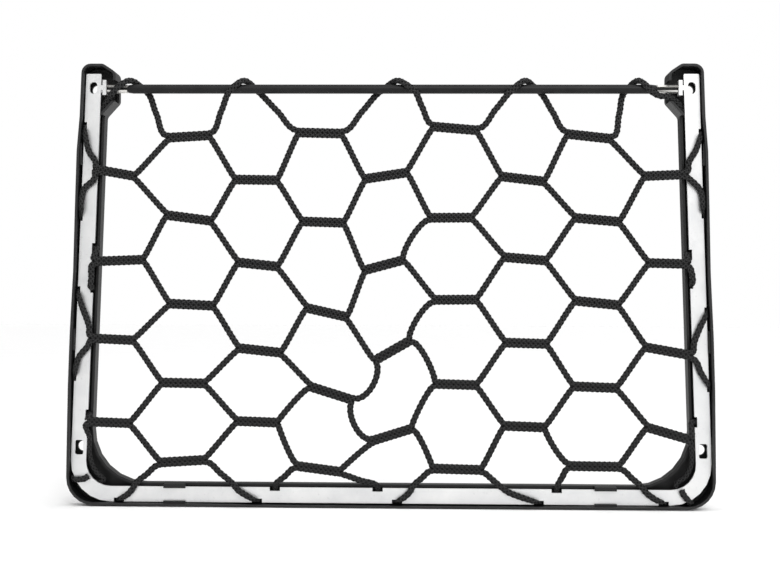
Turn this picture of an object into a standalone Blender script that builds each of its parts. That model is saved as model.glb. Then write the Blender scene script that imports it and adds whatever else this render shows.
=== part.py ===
"""Cargo net laced into its mounting frame.

A U-shaped channel frame with a closed head at each upper end holds a flat metal strip bent to the
same U and a straight rod across the top. A net of braided cord is laced over and under the strip
and wound round the rod.

The drawing's x runs along the rod, z runs up from the frame's lower corners, and y runs from the rim
that meets the wall (y = 0) into the room. The origin is on the rim of the bottom run, on its middle.
"""

import math
from collections import namedtuple

import bmesh
import bpy
from mathutils import Matrix, Vector

MM = 0.001

# Channel frame, in millimetres
DEPTH = 14.0  # outer wall, from rim to room side
WALL = 1.6
WEB = 1.8
INNER_RIM = 6.2  # the inner wall is lower, so that the cord passes over it
INNER_WALL_TOP = 251.2  # where the inner wall meets the head's chamfer
INNER_WALL_X = 186.25
INNER_WALL_LEAN = 0.0293  # outward for each millimetre down
OPENING_BOTTOM = 13.7
CORNER_RADIUS = 17.6
OPENING_RADIUS = 34.0
HEAD_TOP = 284.2
HEAD_INNER_X = 177.8
FRAME_BOTTOM = ((60.0, -0.9), (140.0, -0.35))  # x, height: the bottom run sags a little
FRAME_SIDE = (  # height, half width: the sides bow a little
    (30.0, 207.3),
    (75.0, 206.9),
    (110.0, 206.0),
    (150.0, 204.2),
    (190.0, 203.5),
    (228.0, 202.7),
    (250.0, 201.0),
)
GATE = (260.0, 273.6)  # the rod's way through the head's wall, from and to this height
GATE_DEPTH = 9.8
LUG = (14.0, 1.2, 1.5)  # length, overhang, thickness
LUG_Y = 1.6
SIDE_LUGS = (106.0, 226.0)  # heights
BOTTOM_LUG_X = 138.0

# Metal strip
STRIP_Y = 3.4
STRIP_THICK = 1.5
STRIP_WIDTH = 9.8
STRIP_TOP = 278.2
STRIP_TOP_X = 192.8  # middle of the strip at its top end
STRIP_LEAN = 0.0305
STRIP_BOTTOM_Z = 6.8
STRIP_CORNER = 20.8  # bend radius at the middle of the strip
SLOTS = {269.2: (5.0, 7.8, 2.4), 36.5: (5.4, 9.4, 1.2)}  # by height: width, height, corner radius
SCREW_HOLE = 6.6
NOTCH_LENGTH = 6.6
EAR = (2.5, 9.8, 6.0)  # thickness, height, reach into the head
EAR_GAP = 0.9  # between the strip's edge and the ear's plate
EAR_NECK = 3.0  # height of the neck that joins them
EAR_MIDDLE = 269.4

# Rod and sleeves
ROD_Y = 6.3
ROD_Z = 268.9
ROD_RADIUS = 3.0
ROD_HALF = 170.7
TIP_RADIUS = 1.0
SPIGOT_RADIUS = 1.45
SLEEVE_OUTER = 2.8
SLEEVE_INNER = 1.8
SLEEVE_SLIT = math.radians(50)
SLEEVE_LENGTH = 13.1

# Cord and net
GAP = 0.3
CORD = 1.95  # half width of the cord's section
CORD_DEPTH = 1.7  # half depth of a free leg
BAR_HALF_HEIGHT = 3.2
BAR_HALF_DEPTH = 1.75
SIDE_BAR_DEPTH = 0.76  # the bars next to the strip lie on it and are flatter, as a share
RIDGE = 0.86  # the bar between two ridges, as a share of the bar on a ridge
BAR_RINGS = 9
EDGE_THICK = 0.85  # half thickness where the cord is pressed between strip and wall
EDGE_WIDE = 2.0
EDGE_Y = 4.15
NET_RIM_Y = 1.8
NET_ROD_Y = 5.8
TURN_THICK = 1.2  # half thickness of a turn where it is pressed to the rod
TURN_CROWN = 0.7  # and how much thicker it is on top
COLUMNS = "ABCDEFGHI"

# One row for each bar, from the top down: middle x, middle z, run, rise
BARS = {
    "A": ((-178.1, 213.8, 25.3, -4.4), (-175.1, 157.0, 31.9, 1.3), (-178.8, 106.2, 28.0, -1.2),
          (-180.5, 52.7, 27.8, -0.9)),
    "B": ((-130.8, 237.6, 26.7, 1.7), (-130.2, 184.7, 29.3, -3.7), (-128.1, 128.7, 29.1, -1.3),
          (-132.8, 78.3, 28.5, -0.4), (-132.8, 28.2, 29.4, 1.9)),
    "C": ((-87.0, 209.6, 27.8, -0.3), (-85.4, 154.8, 26.2, -2.7), (-83.7, 99.5, 27.8, -2.9),
          (-84.9, 53.7, 27.0, -0.9)),
    "D": ((-45.9, 240.2, 28.4, -0.6), (-43.6, 182.3, 27.4, -0.8), (-40.8, 124.1, 26.2, -5.8),
          (-37.5, 72.3, 27.7, -8.6), (-45.4, 23.9, 28.2, -3.6)),
    "E": ((-3.1, 212.5, 27.7, 4.3), (-4.0, 154.7, 25.6, 6.9), (1.8, 99.9, 23.0, 13.2),
          (1.9, 46.1, 25.7, 8.1)),
    "F": ((41.4, 243.3, 28.7, -2.5), (39.1, 185.4, 27.4, 0.2), (42.1, 132.6, 27.3, 0.3),
          (42.3, 78.3, 27.2, -0.7), (43.1, 24.3, 31.4, -0.7)),
    "G": ((85.0, 210.5, 27.9, -3.3), (86.5, 159.0, 27.4, -2.2), (87.1, 104.9, 27.1, -0.7),
          (86.2, 51.7, 26.7, -0.9)),
    "H": ((127.5, 238.0, 27.8, -3.2), (132.5, 184.2, 29.0, -2.5), (132.2, 130.9, 28.4, -2.8),
          (131.1, 77.1, 28.3, -0.9), (130.7, 26.7, 31.9, -0.3)),
    "I": ((175.8, 212.8, 27.2, 1.1), (177.5, 156.3, 25.5, -0.6), (177.3, 100.3, 29.0, -5.1),
          (177.4, 48.0, 27.2, -7.8)),
}

Lacing = namedtuple("Lacing", "run start end inner via_across via_along outer back turn")
# Turns round the strip. The cord leaves the bar `start`, crosses the strip's face from its inner
# edge (at `inner` along the run) through the via point to the outer edge (at `outer`), comes back
# under the strip and out at its inner edge (at `back`) to the bar `end`. With turn "edge" it first
# rides up over the inner edge there.
LACINGS = (
    Lacing("left", "A1", "A2", 214.0, 3.0, 203.0, 186.0, 165.0, "gap"),
    Lacing("left", "A3", "A2", 110.5, 0.9, 126.5, 137.0, 139.5, "edge"),
    Lacing("left", "A3", "A4", 105.0, 2.0, 94.5, 82.5, 57.5, "gap"),
    Lacing("right", "I1", "I2", 213.0, 3.0, 203.0, 188.5, 162.0, "gap"),
    Lacing("right", "I3", "I2", 103.5, 0.0, 115.5, 125.0, 143.5, "edge"),
    Lacing("right", "I3", "I4", 97.0, -0.5, 87.0, 77.5, 55.0, "gap"),
    Lacing("bottom", "B5", "D5", -99.5, 0.0, -92.0, -85.0, -73.5, "gap"),
    Lacing("bottom", "F5", "D5", 15.0, 0.0, 10.5, 5.0, -7.5, "gap"),
    Lacing("bottom", "F5", "H5", 71.6, 0.0, 84.0, 95.5, 107.0, "gap"),
)
RodTurn = namedtuple("RodTurn", "start end first_x last_x first")
ROD_TURNS = (
    RodTurn("B1", "D1", -103.5, -86.5, "front"),
    RodTurn("D1", "F1", -7.5, 14.5, "back"),
    RodTurn("F1", "H1", 78.0, 96.5, "front"),
)

# The edge cord leaves the rod inside each head, runs under the strip and comes out over it.
HeadLead = namedtuple(
    "HeadLead", "run bar rod_bar turn_from turn_to outer via_across via_along inner"
)
HEAD_LEADS = (
    HeadLead("left", "A1", "B1", -160.0, -177.0, 243.5, 0.5, 227.0, 218.0),
    HeadLead("right", "I1", "H1", 151.5, 167.0, 239.5, 1.0, 229.0, 218.0),
)
# Loose ends that cross the strip, turn round its outer edge and stop under it. The corners are
# measured in degrees.
Tail = namedtuple("Tail", "run bar inner via outer under")
TAILS = (
    Tail("bottom", "B5", -163.5, -168.0, -174.0, -181.0),
    Tail("bottom", "H5", 161.5, 168.0, 175.0, 181.0),
    Tail("corner_left", "A4", -64, -44, -24, -34),
    Tail("corner_right", "I4", -76, -70, -62, -68),
)
TAIL_LEADS = {  # x, y, z of the corner tails on their way down the inner wall
    "corner_left": ((193.4, 3.6, 42.0), (193.2, 3.9, 31.0), (189.3, 5.0, 20.6), (184.6, 6.3, 15.6)),
    "corner_right": ((192.8, 3.6, 36.0), (192.7, 3.9, 28.5), (189.4, 5.0, 20.2), (183.4, 6.3, 14.6)),
}

Station = namedtuple("Station", "point normal half_width half_thick")

FRONT = Vector((0, -1, 0))
BACK = Vector((0, 1, 0))


# ---------------------------------------------------------------- outlines

def rounded(corners, step=math.radians(15)):
    """Points of a closed outline whose corners (x, z, radius) are replaced by arcs."""
    points = []
    count = len(corners)
    for i, (x, z, radius) in enumerate(corners):
        here = Vector((x, z))
        back = (Vector(corners[i - 1][:2]) - here).normalized()
        ahead = (Vector(corners[(i + 1) % count][:2]) - here).normalized()
        turn = math.pi - back.angle(ahead)
        if radius <= 0 or turn < math.radians(4):
            points.append(here)
            continue
        centre = here + (back + ahead).normalized() * radius / math.cos(turn / 2)
        first = here + back * radius * math.tan(turn / 2) - centre
        way = math.copysign(1, back.x * ahead.y - back.y * ahead.x)
        steps = max(2, round(turn / step))
        for k in range(steps + 1):
            points.append(centre + Matrix.Rotation(-way * turn * k / steps, 2) @ first)
    return points


def inset(corners, distance):
    """The corners of an anticlockwise outline moved inwards, with their radii to match."""
    moved = []
    count = len(corners)
    for i, (x, z, radius) in enumerate(corners):
        here = Vector((x, z))
        before = (here - Vector(corners[i - 1][:2])).normalized()
        after = (Vector(corners[(i + 1) % count][:2]) - here).normalized()
        inward_a = Vector((-before.y, before.x))
        inward_b = Vector((-after.y, after.x))
        bisector = (inward_a + inward_b) / (1 + inward_a.dot(inward_b))
        point = here + bisector * distance
        convex = before.x * after.y - before.y * after.x > 0
        new_radius = max(radius - distance, 0.4) if convex else radius + distance
        moved.append((point.x, point.y, new_radius if radius else 0))
    return moved


def mirrored(half):
    """A closed outline from its right half, listed anticlockwise from the bottom up."""
    return list(half) + [(-x, z, radius) for x, z, radius in reversed(half)]


def inner_wall_x(z):
    """The opening's half width at a height."""
    return INNER_WALL_X + INNER_WALL_LEAN * (INNER_WALL_TOP - z)


def frame_side_x(z):
    """The frame's half width at a height, from its rows."""
    rows = FRAME_SIDE
    for (low, a), (high, b) in zip(rows, rows[1:]):
        if z <= high:
            return a + (b - a) * (z - low) / (high - low)
    return rows[-1][1]


def frame_outline():
    outer = [(rows[1], rows[0], 0) for rows in FRAME_SIDE]
    head = [
        (199.9, HEAD_TOP, 6.0),
        (186.0, HEAD_TOP, 4.0),
        (HEAD_INNER_X, 278.8, 4.5),
        (HEAD_INNER_X, 260.6, 3.0),
        (INNER_WALL_X, INNER_WALL_TOP, 4.0),
    ]
    corner = (inner_wall_x(OPENING_BOTTOM), OPENING_BOTTOM, OPENING_RADIUS)
    bottom = [(x, z, 0) for x, z in FRAME_BOTTOM]
    return mirrored(bottom + [(207.4, 0, CORNER_RADIUS)] + outer + head + [corner])


def strip_middle_x(z):
    """The strip's middle line on a side run, at a height."""
    return STRIP_TOP_X + STRIP_LEAN * (STRIP_TOP - z)


def strip_outline():
    """The bent strip laid flat on the drawing: outer edge, then inner edge."""
    half = STRIP_WIDTH / 2
    low_outer, low_inner = STRIP_BOTTOM_Z - half, STRIP_BOTTOM_Z + half
    low, high = EAR_MIDDLE - EAR[1] / 2, EAR_MIDDLE + EAR[1] / 2
    neck_low, neck_high = EAR_MIDDLE - EAR_NECK / 2, EAR_MIDDLE + EAR_NECK / 2
    plate = ear_plate_x()
    plate_back = plate + EAR[0] - 0.1
    right = [
        (strip_middle_x(low_outer) + half, low_outer, STRIP_CORNER + half),
        (STRIP_TOP_X + half, STRIP_TOP, 0.8),
        (STRIP_TOP_X - half, STRIP_TOP, 0.8),
        (strip_middle_x(neck_high) - half, neck_high, 0),
        (plate_back, neck_high, 0),
        (plate_back, high, 0),
        (plate, high, 0.6),
        (plate, low, 0.6),
        (plate_back, low, 0),
        (plate_back, neck_low, 0),
        (strip_middle_x(neck_low) - half, neck_low, 0),
        (strip_middle_x(low_inner) - half, low_inner, STRIP_CORNER - half),
    ]
    return mirrored(right)


# ---------------------------------------------------------------- Blender helpers

def clear_scene():
    for block in list(bpy.data.objects):
        bpy.data.objects.remove(block)


def collection(name):
    made = bpy.data.collections.new(name)
    bpy.context.scene.collection.children.link(made)
    return made


def finish(name, colour, roughness, metallic):
    material = bpy.data.materials.new(name)
    material.use_nodes = True
    shader = material.node_tree.nodes["Principled BSDF"]
    shader.inputs["Base Color"].default_value = (*colour, 1)
    shader.inputs["Roughness"].default_value = roughness
    shader.inputs["Metallic"].default_value = metallic
    return material


def to_mesh_object(source, name):
    """The evaluated shape as a plain mesh in world place, with its caps welded on."""
    bpy.context.view_layer.update()
    evaluated = source.evaluated_get(bpy.context.evaluated_depsgraph_get())
    mesh = bpy.data.meshes.new_from_object(evaluated)
    mesh.transform(source.matrix_world)
    bpy.data.objects.remove(source)
    shape = bmesh.new()
    shape.from_mesh(mesh)
    bmesh.ops.remove_doubles(shape, verts=shape.verts, dist=1e-6)
    bmesh.ops.recalc_face_normals(shape, faces=shape.faces)
    shape.to_mesh(mesh)
    shape.free()
    made = bpy.data.objects.new(name, mesh)
    mesh.name = name
    return made


def prism(name, outline, low_y, high_y, group):
    """A flat outline on the drawing, given thickness from low_y to high_y."""
    curve = bpy.data.curves.new(name, "CURVE")
    curve.dimensions = "2D"
    curve.fill_mode = "BOTH"
    curve.extrude = (high_y - low_y) / 2 * MM
    spline = curve.splines.new("POLY")
    spline.points.add(len(outline) - 1)
    for slot, point in zip(spline.points, outline):
        slot.co = (point[0] * MM, point[1] * MM, 0, 1)
    spline.use_cyclic_u = True
    flat = bpy.data.objects.new(name, curve)
    flat.rotation_euler = (math.pi / 2, 0, 0)
    flat.location.y = (low_y + high_y) / 2 * MM
    bpy.context.scene.collection.objects.link(flat)
    made = to_mesh_object(flat, name)
    bpy.data.curves.remove(curve)
    group.objects.link(made)
    return made


def block(name, low, high, group):
    """A box between two corners, in millimetres."""
    shape = bmesh.new()
    bmesh.ops.create_cube(shape, size=1)
    size = [b - a for a, b in zip(low, high)]
    middle = [(a + b) / 2 for a, b in zip(low, high)]
    bmesh.ops.scale(shape, vec=[s * MM for s in size], verts=shape.verts)
    bmesh.ops.translate(shape, vec=[m * MM for m in middle], verts=shape.verts)
    mesh = bpy.data.meshes.new(name)
    shape.to_mesh(mesh)
    shape.free()
    made = bpy.data.objects.new(name, mesh)
    group.objects.link(made)
    return made


def bore(name, x, z, radius, low_y, high_y, group, sides=16):
    """A round cutter along y."""
    around = [
        (x + radius * math.cos(k * math.tau / sides), z + radius * math.sin(k * math.tau / sides))
        for k in range(sides)
    ]
    return prism(name, around, low_y, high_y, group)


def combine(target, tool, operation):
    tool.hide_render = True
    tool.display_type = "WIRE"
    change = target.modifiers.new(f"{operation.lower()} {tool.name}", "BOOLEAN")
    change.operation = operation
    change.solver = "EXACT"
    change.object = tool


# ---------------------------------------------------------------- frame

def build_frame(parts, cutters):
    outline = frame_outline()
    frame = prism("channel_frame", rounded(outline), 0, DEPTH, parts)
    room = prism("channel_room", rounded(inset(outline, WALL)), -1, DEPTH - WEB, cutters)
    combine(frame, room, "DIFFERENCE")
    reach = WALL + 1.5
    low_x = inner_wall_x(OPENING_BOTTOM) + reach
    lowered = mirrored([
        (low_x, OPENING_BOTTOM - reach, OPENING_RADIUS + reach),
        (INNER_WALL_X + reach, INNER_WALL_TOP, 0),
    ])
    combine(frame, prism("inner_wall_top", rounded(lowered), -1, INNER_RIM, cutters), "DIFFERENCE")
    for side in (-1, 1):
        inside, outside = sorted((side * (HEAD_INNER_X - 1), side * (HEAD_INNER_X + WALL + 1)))
        gate = block(
            f"rod_gate_{side}", (inside, -1, GATE[0]), (outside, GATE_DEPTH, GATE[1]), cutters
        )
        combine(frame, gate, "DIFFERENCE")
        for z in SLOTS:
            hole = bore(
                f"screw_hole_{side}_{z}", side * strip_middle_x(z), z, SCREW_HOLE / 2,
                DEPTH - WEB - 1, DEPTH + 1, cutters,
            )
            combine(frame, hole, "DIFFERENCE")
    for lug in lugs(cutters):
        combine(frame, lug, "UNION")
    return frame


def lugs(group):
    """Small lugs on the walls that reach over the strip's edges."""
    length, overhang, thick = LUG
    made = []
    for side in (-1, 1):
        for z in SIDE_LUGS:
            wall = frame_side_x(z) - WALL
            near, far = sorted((side * (wall - overhang), side * (wall + WALL / 2)))
            made.append(block(
                f"side_lug_{side}_{z}", (near, LUG_Y, z - length / 2),
                (far, LUG_Y + thick, z + length / 2), group,
            ))
        left, right = side * BOTTOM_LUG_X - length / 2, side * BOTTOM_LUG_X + length / 2
        made.append(block(
            f"bottom_lug_{side}", (left, LUG_Y, WALL / 2), (right, LUG_Y + thick, WALL + overhang),
            group,
        ))
        inner_face = OPENING_BOTTOM - WALL
        made.append(block(
            f"inner_lug_post_{side}", (left + 0.2, LUG_Y + 0.2, inner_face + 0.2),
            (right - 0.2, INNER_RIM + 1, OPENING_BOTTOM - 0.2), group,
        ))
        made.append(block(
            f"inner_lug_{side}", (left, LUG_Y, inner_face - overhang),
            (right, LUG_Y + thick, OPENING_BOTTOM - 0.5), group,
        ))
    return made


# ---------------------------------------------------------------- strip, rod and sleeves

def corner_centre(x, z, radius, lean):
    """Centre of a bend between the bottom run and a side run that leans inwards going up."""
    turn = math.pi / 2 + math.atan(lean)
    reach = radius * math.tan(turn / 2)
    return Vector((x - reach, z + radius))


def strip_bend():
    x = strip_middle_x(STRIP_BOTTOM_Z)
    return corner_centre(x, STRIP_BOTTOM_Z, STRIP_CORNER, STRIP_LEAN)


def channel_faces(run, along):
    """Across from the strip's middle line to the inner wall's face and to the outer wall's face."""
    if run == "bottom":
        return STRIP_BOTTOM_Z - (OPENING_BOTTOM - WALL), STRIP_BOTTOM_Z - WALL
    if run.startswith("corner"):
        wall = Vector((FRAME_SIDE[0][1] - CORNER_RADIUS, CORNER_RADIUS)) - strip_bend()
        ray = Vector((math.cos(math.radians(along)), math.sin(math.radians(along))))
        onto = wall.dot(ray)
        beside = wall.length_squared - onto**2
        return -9, onto + math.sqrt((CORNER_RADIUS - WALL) ** 2 - beside) - STRIP_CORNER
    middle = strip_middle_x(along)
    return inner_wall_x(along) + WALL - middle, frame_side_x(along) - WALL - middle


def along_scale(run):
    """Millimetres for one unit along a run: a corner is measured in degrees."""
    return STRIP_CORNER * math.radians(1) if run.startswith("corner") else 1


def on_run(run, along, across, y):
    """A point beside the strip's middle line; across grows towards the outer wall."""
    if run == "bottom":
        return Vector((along, y, STRIP_BOTTOM_Z - across))
    side = -1 if run.endswith("left") else 1
    if run.startswith("corner"):
        centre = strip_bend()
        reach = STRIP_CORNER + across
        angle = math.radians(along)
        return Vector((side * (centre.x + reach * math.cos(angle)), y, centre.y + reach * math.sin(angle)))
    return Vector((side * (strip_middle_x(along) + across), y, along))


def edge_middles(run, along):
    """Across to the cord's middle where it is pressed against the inner and the outer wall."""
    inner, outer = channel_faces(run, along)
    spare = 0.15 if run.startswith("corner") else 0
    return inner + GAP + EDGE_THICK, outer - GAP - EDGE_THICK - spare


def notch(run, along, edge, group):
    """A cutter that leaves the cord room beside one edge of the strip."""
    inner, outer = edge_middles(run, along)
    clear = EDGE_THICK + GAP + 0.45
    near, far = (outer - clear, outer + 3) if edge == "outer" else (inner - 3, inner + clear)
    name = f"notch_{run}_{edge}_{abs(along):.0f}"
    half = NOTCH_LENGTH / 2 / along_scale(run)
    square = ((-half, near), (half, near), (half, far), (-half, far))
    corners = [on_run(run, along + s, c, 0) for s, c in square]
    return prism(name, [(p.x, p.z) for p in corners], 2, 7, group)


def build_strip(parts, cutters):
    strip = prism(
        "metal_strip", rounded(strip_outline()), STRIP_Y, STRIP_Y + STRIP_THICK, parts
    )
    for side in (-1, 1):
        for z, (width, height, radius) in SLOTS.items():
            x = side * strip_middle_x(z)
            slot = [
                (x + a * width / 2, z + b * height / 2, radius)
                for a, b in ((-1, -1), (1, -1), (1, 1), (-1, 1))
            ]
            cutter = prism(f"slot_{side}_{z}", rounded(slot, math.radians(30)), 2, 7, cutters)
            combine(strip, cutter, "DIFFERENCE")
    for run, along, edge in sorted(notches()):
        combine(strip, notch(run, along, edge, cutters), "DIFFERENCE")
    for side in (-1, 1):
        combine(strip, ear_plate(side, cutters), "UNION")
        combine(strip, rod_hole(side, cutters), "DIFFERENCE")
    return strip


def notches():
    """Every place where the cord turns round an edge of the strip."""
    places = {(lead.run, lead.outer, "outer") for lead in HEAD_LEADS}
    for row in LACINGS:
        places |= {(row.run, row.outer, "outer"), (row.run, row.back, "inner")}
    return places | {(tail.run, tail.outer, "outer") for tail in TAILS}


def ear_plate(side, group):
    """The ear's plate, bent away from the wall side into the head."""
    thick, height, reach = EAR
    near, far = sorted((side * (ear_plate_x() + 0.1), side * (ear_plate_x() + thick)))
    low, high = EAR_MIDDLE - height / 2 + 0.1, EAR_MIDDLE + height / 2 - 0.1
    name = f"ear_plate_{side}"
    return block(name, (near, STRIP_Y + STRIP_THICK / 2, low), (far, STRIP_Y + reach, high), group)


def ear_plate_x():
    """The plate's face towards the rod."""
    return strip_middle_x(ROD_Z) - STRIP_WIDTH / 2 - EAR_GAP - EAR[0]


def rod_hole(side, group):
    radius = (TIP_RADIUS + GAP) / math.cos(math.pi / 12)
    reach = EAR[0] / 2 + 0.5
    hole = bore(f"ear_hole_{side}", 0, 0, radius, -reach, reach, group, sides=12)
    hole.data.transform(Matrix.Rotation(math.pi / 2, 4, "Z"))
    middle = side * (ear_plate_x() + EAR[0] / 2)
    hole.data.transform(Matrix.Translation((middle * MM, ROD_Y * MM, ROD_Z * MM)))
    return hole


def build_rod(parts):
    """The rod turned about its axis: full body, short taper, spigot."""
    tip_end = ear_plate_x() + EAR[0] - GAP
    shoulder = ear_plate_x() - 1.0
    half = [
        (0, tip_end),
        (TIP_RADIUS, tip_end),
        (TIP_RADIUS, shoulder),
        (SPIGOT_RADIUS, shoulder),
        (SPIGOT_RADIUS, ROD_HALF),
        (ROD_RADIUS - 0.4, ROD_HALF),
        (ROD_RADIUS, ROD_HALF - 3.4),
    ]
    profile = half + [(r, -x) for r, x in reversed(half)]
    mesh = bpy.data.meshes.new("top_rod")
    edges = [(i, i + 1) for i in range(len(profile) - 1)]
    mesh.from_pydata([(r * MM, 0, x * MM) for r, x in profile], edges, [])
    rod = bpy.data.objects.new("top_rod", mesh)
    parts.objects.link(rod)
    turn = rod.modifiers.new("turn", "SCREW")
    turn.steps = turn.render_steps = 16
    turn.use_merge_vertices = True
    turn.merge_threshold = 1e-5
    turn.use_normal_calculate = True
    rod.rotation_euler = (0, math.pi / 2, 0)
    rod.location = (0, ROD_Y * MM, ROD_Z * MM)
    return rod


def build_sleeve(name, side, parts):
    """A steel sleeve rolled from sheet, with its slit towards the wall side."""
    steps = 14
    span = math.tau - SLEEVE_SLIT
    angles = [SLEEVE_SLIT / 2 + span * k / steps for k in range(steps + 1)]
    outer = [(SLEEVE_OUTER * math.cos(a), SLEEVE_OUTER * math.sin(a)) for a in angles]
    inner = [(SLEEVE_INNER * math.cos(a), SLEEVE_INNER * math.sin(a)) for a in reversed(angles)]
    sleeve = prism(name, outer + inner, 0, SLEEVE_LENGTH, parts)
    # The drawing's x becomes -y, so that the slit faces the wall side
    sleeve.data.transform(Matrix.Rotation(-math.pi / 2, 4, "Z"))
    start = ear_plate_x() - GAP if side > 0 else -ear_plate_x() + GAP + SLEEVE_LENGTH
    sleeve.data.transform(Matrix.Translation(((start - SLEEVE_LENGTH) * MM, ROD_Y * MM, ROD_Z * MM)))
    return sleeve


# ---------------------------------------------------------------- net

def net_y(x, z):
    """The net lies near the rim along the strip and drops back to the rod's middle at the top."""
    across = 1 - (x / 195) ** 2
    return NET_RIM_Y + (NET_ROD_Y - NET_RIM_Y) * (z / 240) ** 2 * max(across, 0)


class Net:
    """Points and faces of the net, in millimetres."""

    def __init__(self):
        self.points = []
        self.faces = []
        self.ends = {}

    def add(self, points):
        first = len(self.points)
        self.points += points
        return list(range(first, first + len(points)))

    def join(self, ring, following):
        count = len(ring)
        for k in range(count):
            after = (k + 1) % count
            self.faces.append((ring[k], ring[after], following[after], following[k]))

    def middle(self, ring):
        return sum((self.points[i] for i in ring), Vector()) / len(ring)

    def bar(self, name, x, z, run, rise):
        """A braided bar: two strands side by side, ridged along its length."""
        along = Vector((run, 0, rise))
        up = Vector((-rise, 0, run)).normalized()
        high, deep = BAR_HALF_HEIGHT, BAR_HALF_DEPTH
        if name[0] in "AI":
            deep *= SIDE_BAR_DEPTH
        section = (
            (high, 0), (0.74 * high, -0.92 * deep), (0, -0.8 * deep), (-0.74 * high, -0.92 * deep),
            (-high, 0), (-0.74 * high, 0.92 * deep), (0, 0.8 * deep), (0.74 * high, 0.92 * deep),
        )
        rings = []
        for k in range(BAR_RINGS):
            middle = Vector((x, 0, z)) + along * (k / (BAR_RINGS - 1) - 0.5)
            middle.y = net_y(middle.x, middle.z)
            size = 1 if k % 2 else RIDGE
            ring = [middle + up * w * size + BACK * d * size for w, d in section]
            rings.append(self.add(ring))
        for ring, following in zip(rings, rings[1:]):
            self.join(ring, following)
        outward = along.normalized()
        for ring, side, way in ((rings[0], "left", -outward), (rings[-1], "right", outward)):
            self.ends[name, side, "upper"] = ([ring[i] for i in (2, 1, 0, 7, 6)], way)
            self.ends[name, side, "lower"] = ([ring[i] for i in (2, 3, 4, 5, 6)], way)

    def placed(self, ring, tangent, normal):
        """The ring's points by angle in the section's own frame, and that frame."""
        deep = (normal - tangent * normal.dot(tangent)).normalized()
        wide = tangent.cross(deep)
        centre = self.middle(ring)
        turned = []
        for i in ring:
            arm = self.points[i] - centre
            turned.append((math.atan2(arm.dot(deep), arm.dot(wide)), i))
        return sorted(turned)

    def cord(self, start, stations, end=None):
        """A five-sided cord from one half of a bar's end through the stations to another half."""
        first_ring, way_out = self.ends.pop(start)
        centres = [self.middle(first_ring)] + [s.point for s in stations]
        normals = [FRONT] + [s.normal for s in stations]
        if end:
            last_ring, way_in = self.ends.pop(end)
            centres.append(self.middle(last_ring))
            normals.append(FRONT)
        for k in range(1, len(normals)):
            if normals[k].dot(normals[k - 1]) < 0:
                normals[k] = -normals[k]
        tangents = [
            (centres[min(k + 1, len(centres) - 1)] - centres[max(k - 1, 0)]).normalized()
            for k in range(len(centres))
        ]
        tangents[0] = (tangents[0] + way_out).normalized()
        fifth = math.tau / 5
        ordered = self.placed(first_ring, tangents[0], normals[0])
        offset = circular_mean([angle - k * fifth for k, (angle, _) in enumerate(ordered)], fifth)
        ring = [i for _, i in ordered]
        first_index = round((offset - ordered[0][0]) / fifth)
        ring = ring[first_index:] + ring[:first_index]
        base = ordered[first_index % 5][0]
        twist = 0
        if end:
            tangents[-1] = (tangents[-1] - way_in).normalized()
            arriving = self.placed(last_ring, tangents[-1], normals[-1])
            last_offset = circular_mean(
                [angle - k * fifth for k, (angle, _) in enumerate(arriving)], fifth
            )
            twist = (last_offset - offset + fifth / 2) % fifth - fifth / 2
        count = len(stations)
        for k, station in enumerate(stations, 1):
            tangent, normal = tangents[k], normals[k]
            deep = (normal - tangent * normal.dot(tangent)).normalized()
            wide = tangent.cross(deep)
            turned = base + (offset_of(base, offset, fifth)) + twist * k / (count + 1)
            following = self.add([
                station.point
                + wide * station.half_width * math.cos(turned + i * fifth)
                + deep * station.half_thick * math.sin(turned + i * fifth)
                for i in range(5)
            ])
            self.join(ring, following)
            ring = following
        if not end:
            self.faces.append(tuple(ring))
            return
        target = base + offset_of(base, offset, fifth) + twist
        angles = [angle for angle, _ in arriving]
        best = min(range(5), key=lambda i: abs(wrapped(angles[i] - target)))
        following = [arriving[(best + i) % 5][1] for i in range(5)]
        self.join(ring, following)


def wrapped(angle):
    return (angle + math.pi) % math.tau - math.pi


def circular_mean(angles, period):
    turns = [a * math.tau / period for a in angles]
    return math.atan2(sum(map(math.sin, turns)), sum(map(math.cos, turns))) * period / math.tau


def offset_of(base, offset, period):
    """How far the regular section nearest to the bar's end is turned from its first point."""
    return (offset - base + period / 2) % period - period / 2


def leg_stations(start, end, bow):
    """Rings of a straight leg between two bar ends, a little bowed where a bow is given."""
    (p, p_way), (q, q_way) = start, end
    reach = 4.0
    stations = []
    across = Vector((-(q - p).z, 0, (q - p).x)).normalized()
    for t in (0.13, 0.36, 0.64, 0.87) if bow else (0.14, 0.5, 0.86):
        h00 = 2 * t**3 - 3 * t**2 + 1
        h10 = t**3 - 2 * t**2 + t
        h01 = 1 - h00
        h11 = t**3 - t**2
        point = p * h00 + p_way * reach * h10 + q * h01 - q_way * reach * h11
        point += across * bow * math.sin(math.pi * t)
        stations.append(Station(point, FRONT, CORD, CORD_DEPTH))
    return stations


def slanted(run, along, across, y):
    """A direction in the plane across the run."""
    flat = on_run(run, along, 1, 0) - on_run(run, along, 0, 0)
    return (flat * across + BACK * y).normalized()


def over_strip(run, inner, via_across, via, outer, rise=True):
    """Stations from the inner edge over the strip's face to where the outer edge is near."""
    _, edge = edge_middles(run, outer)
    start = inner + (via - inner) * 0.25
    finish_at = outer + (via - outer) * 0.12
    stations = [
        Station(on_run(run, start, -3.9, 1.55), FRONT, CORD, 1.2),
        Station(on_run(run, via, via_across, 1.7), FRONT, CORD, 1.2),
        Station(on_run(run, finish_at, edge - 0.8, 1.85), slanted(run, outer, 0.5, -0.87), EDGE_WIDE, 1.0),
    ]
    if rise:
        stations.insert(0, Station(on_run(run, inner, -6.2, 1.95), FRONT, CORD, 1.3))
    return stations


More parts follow.
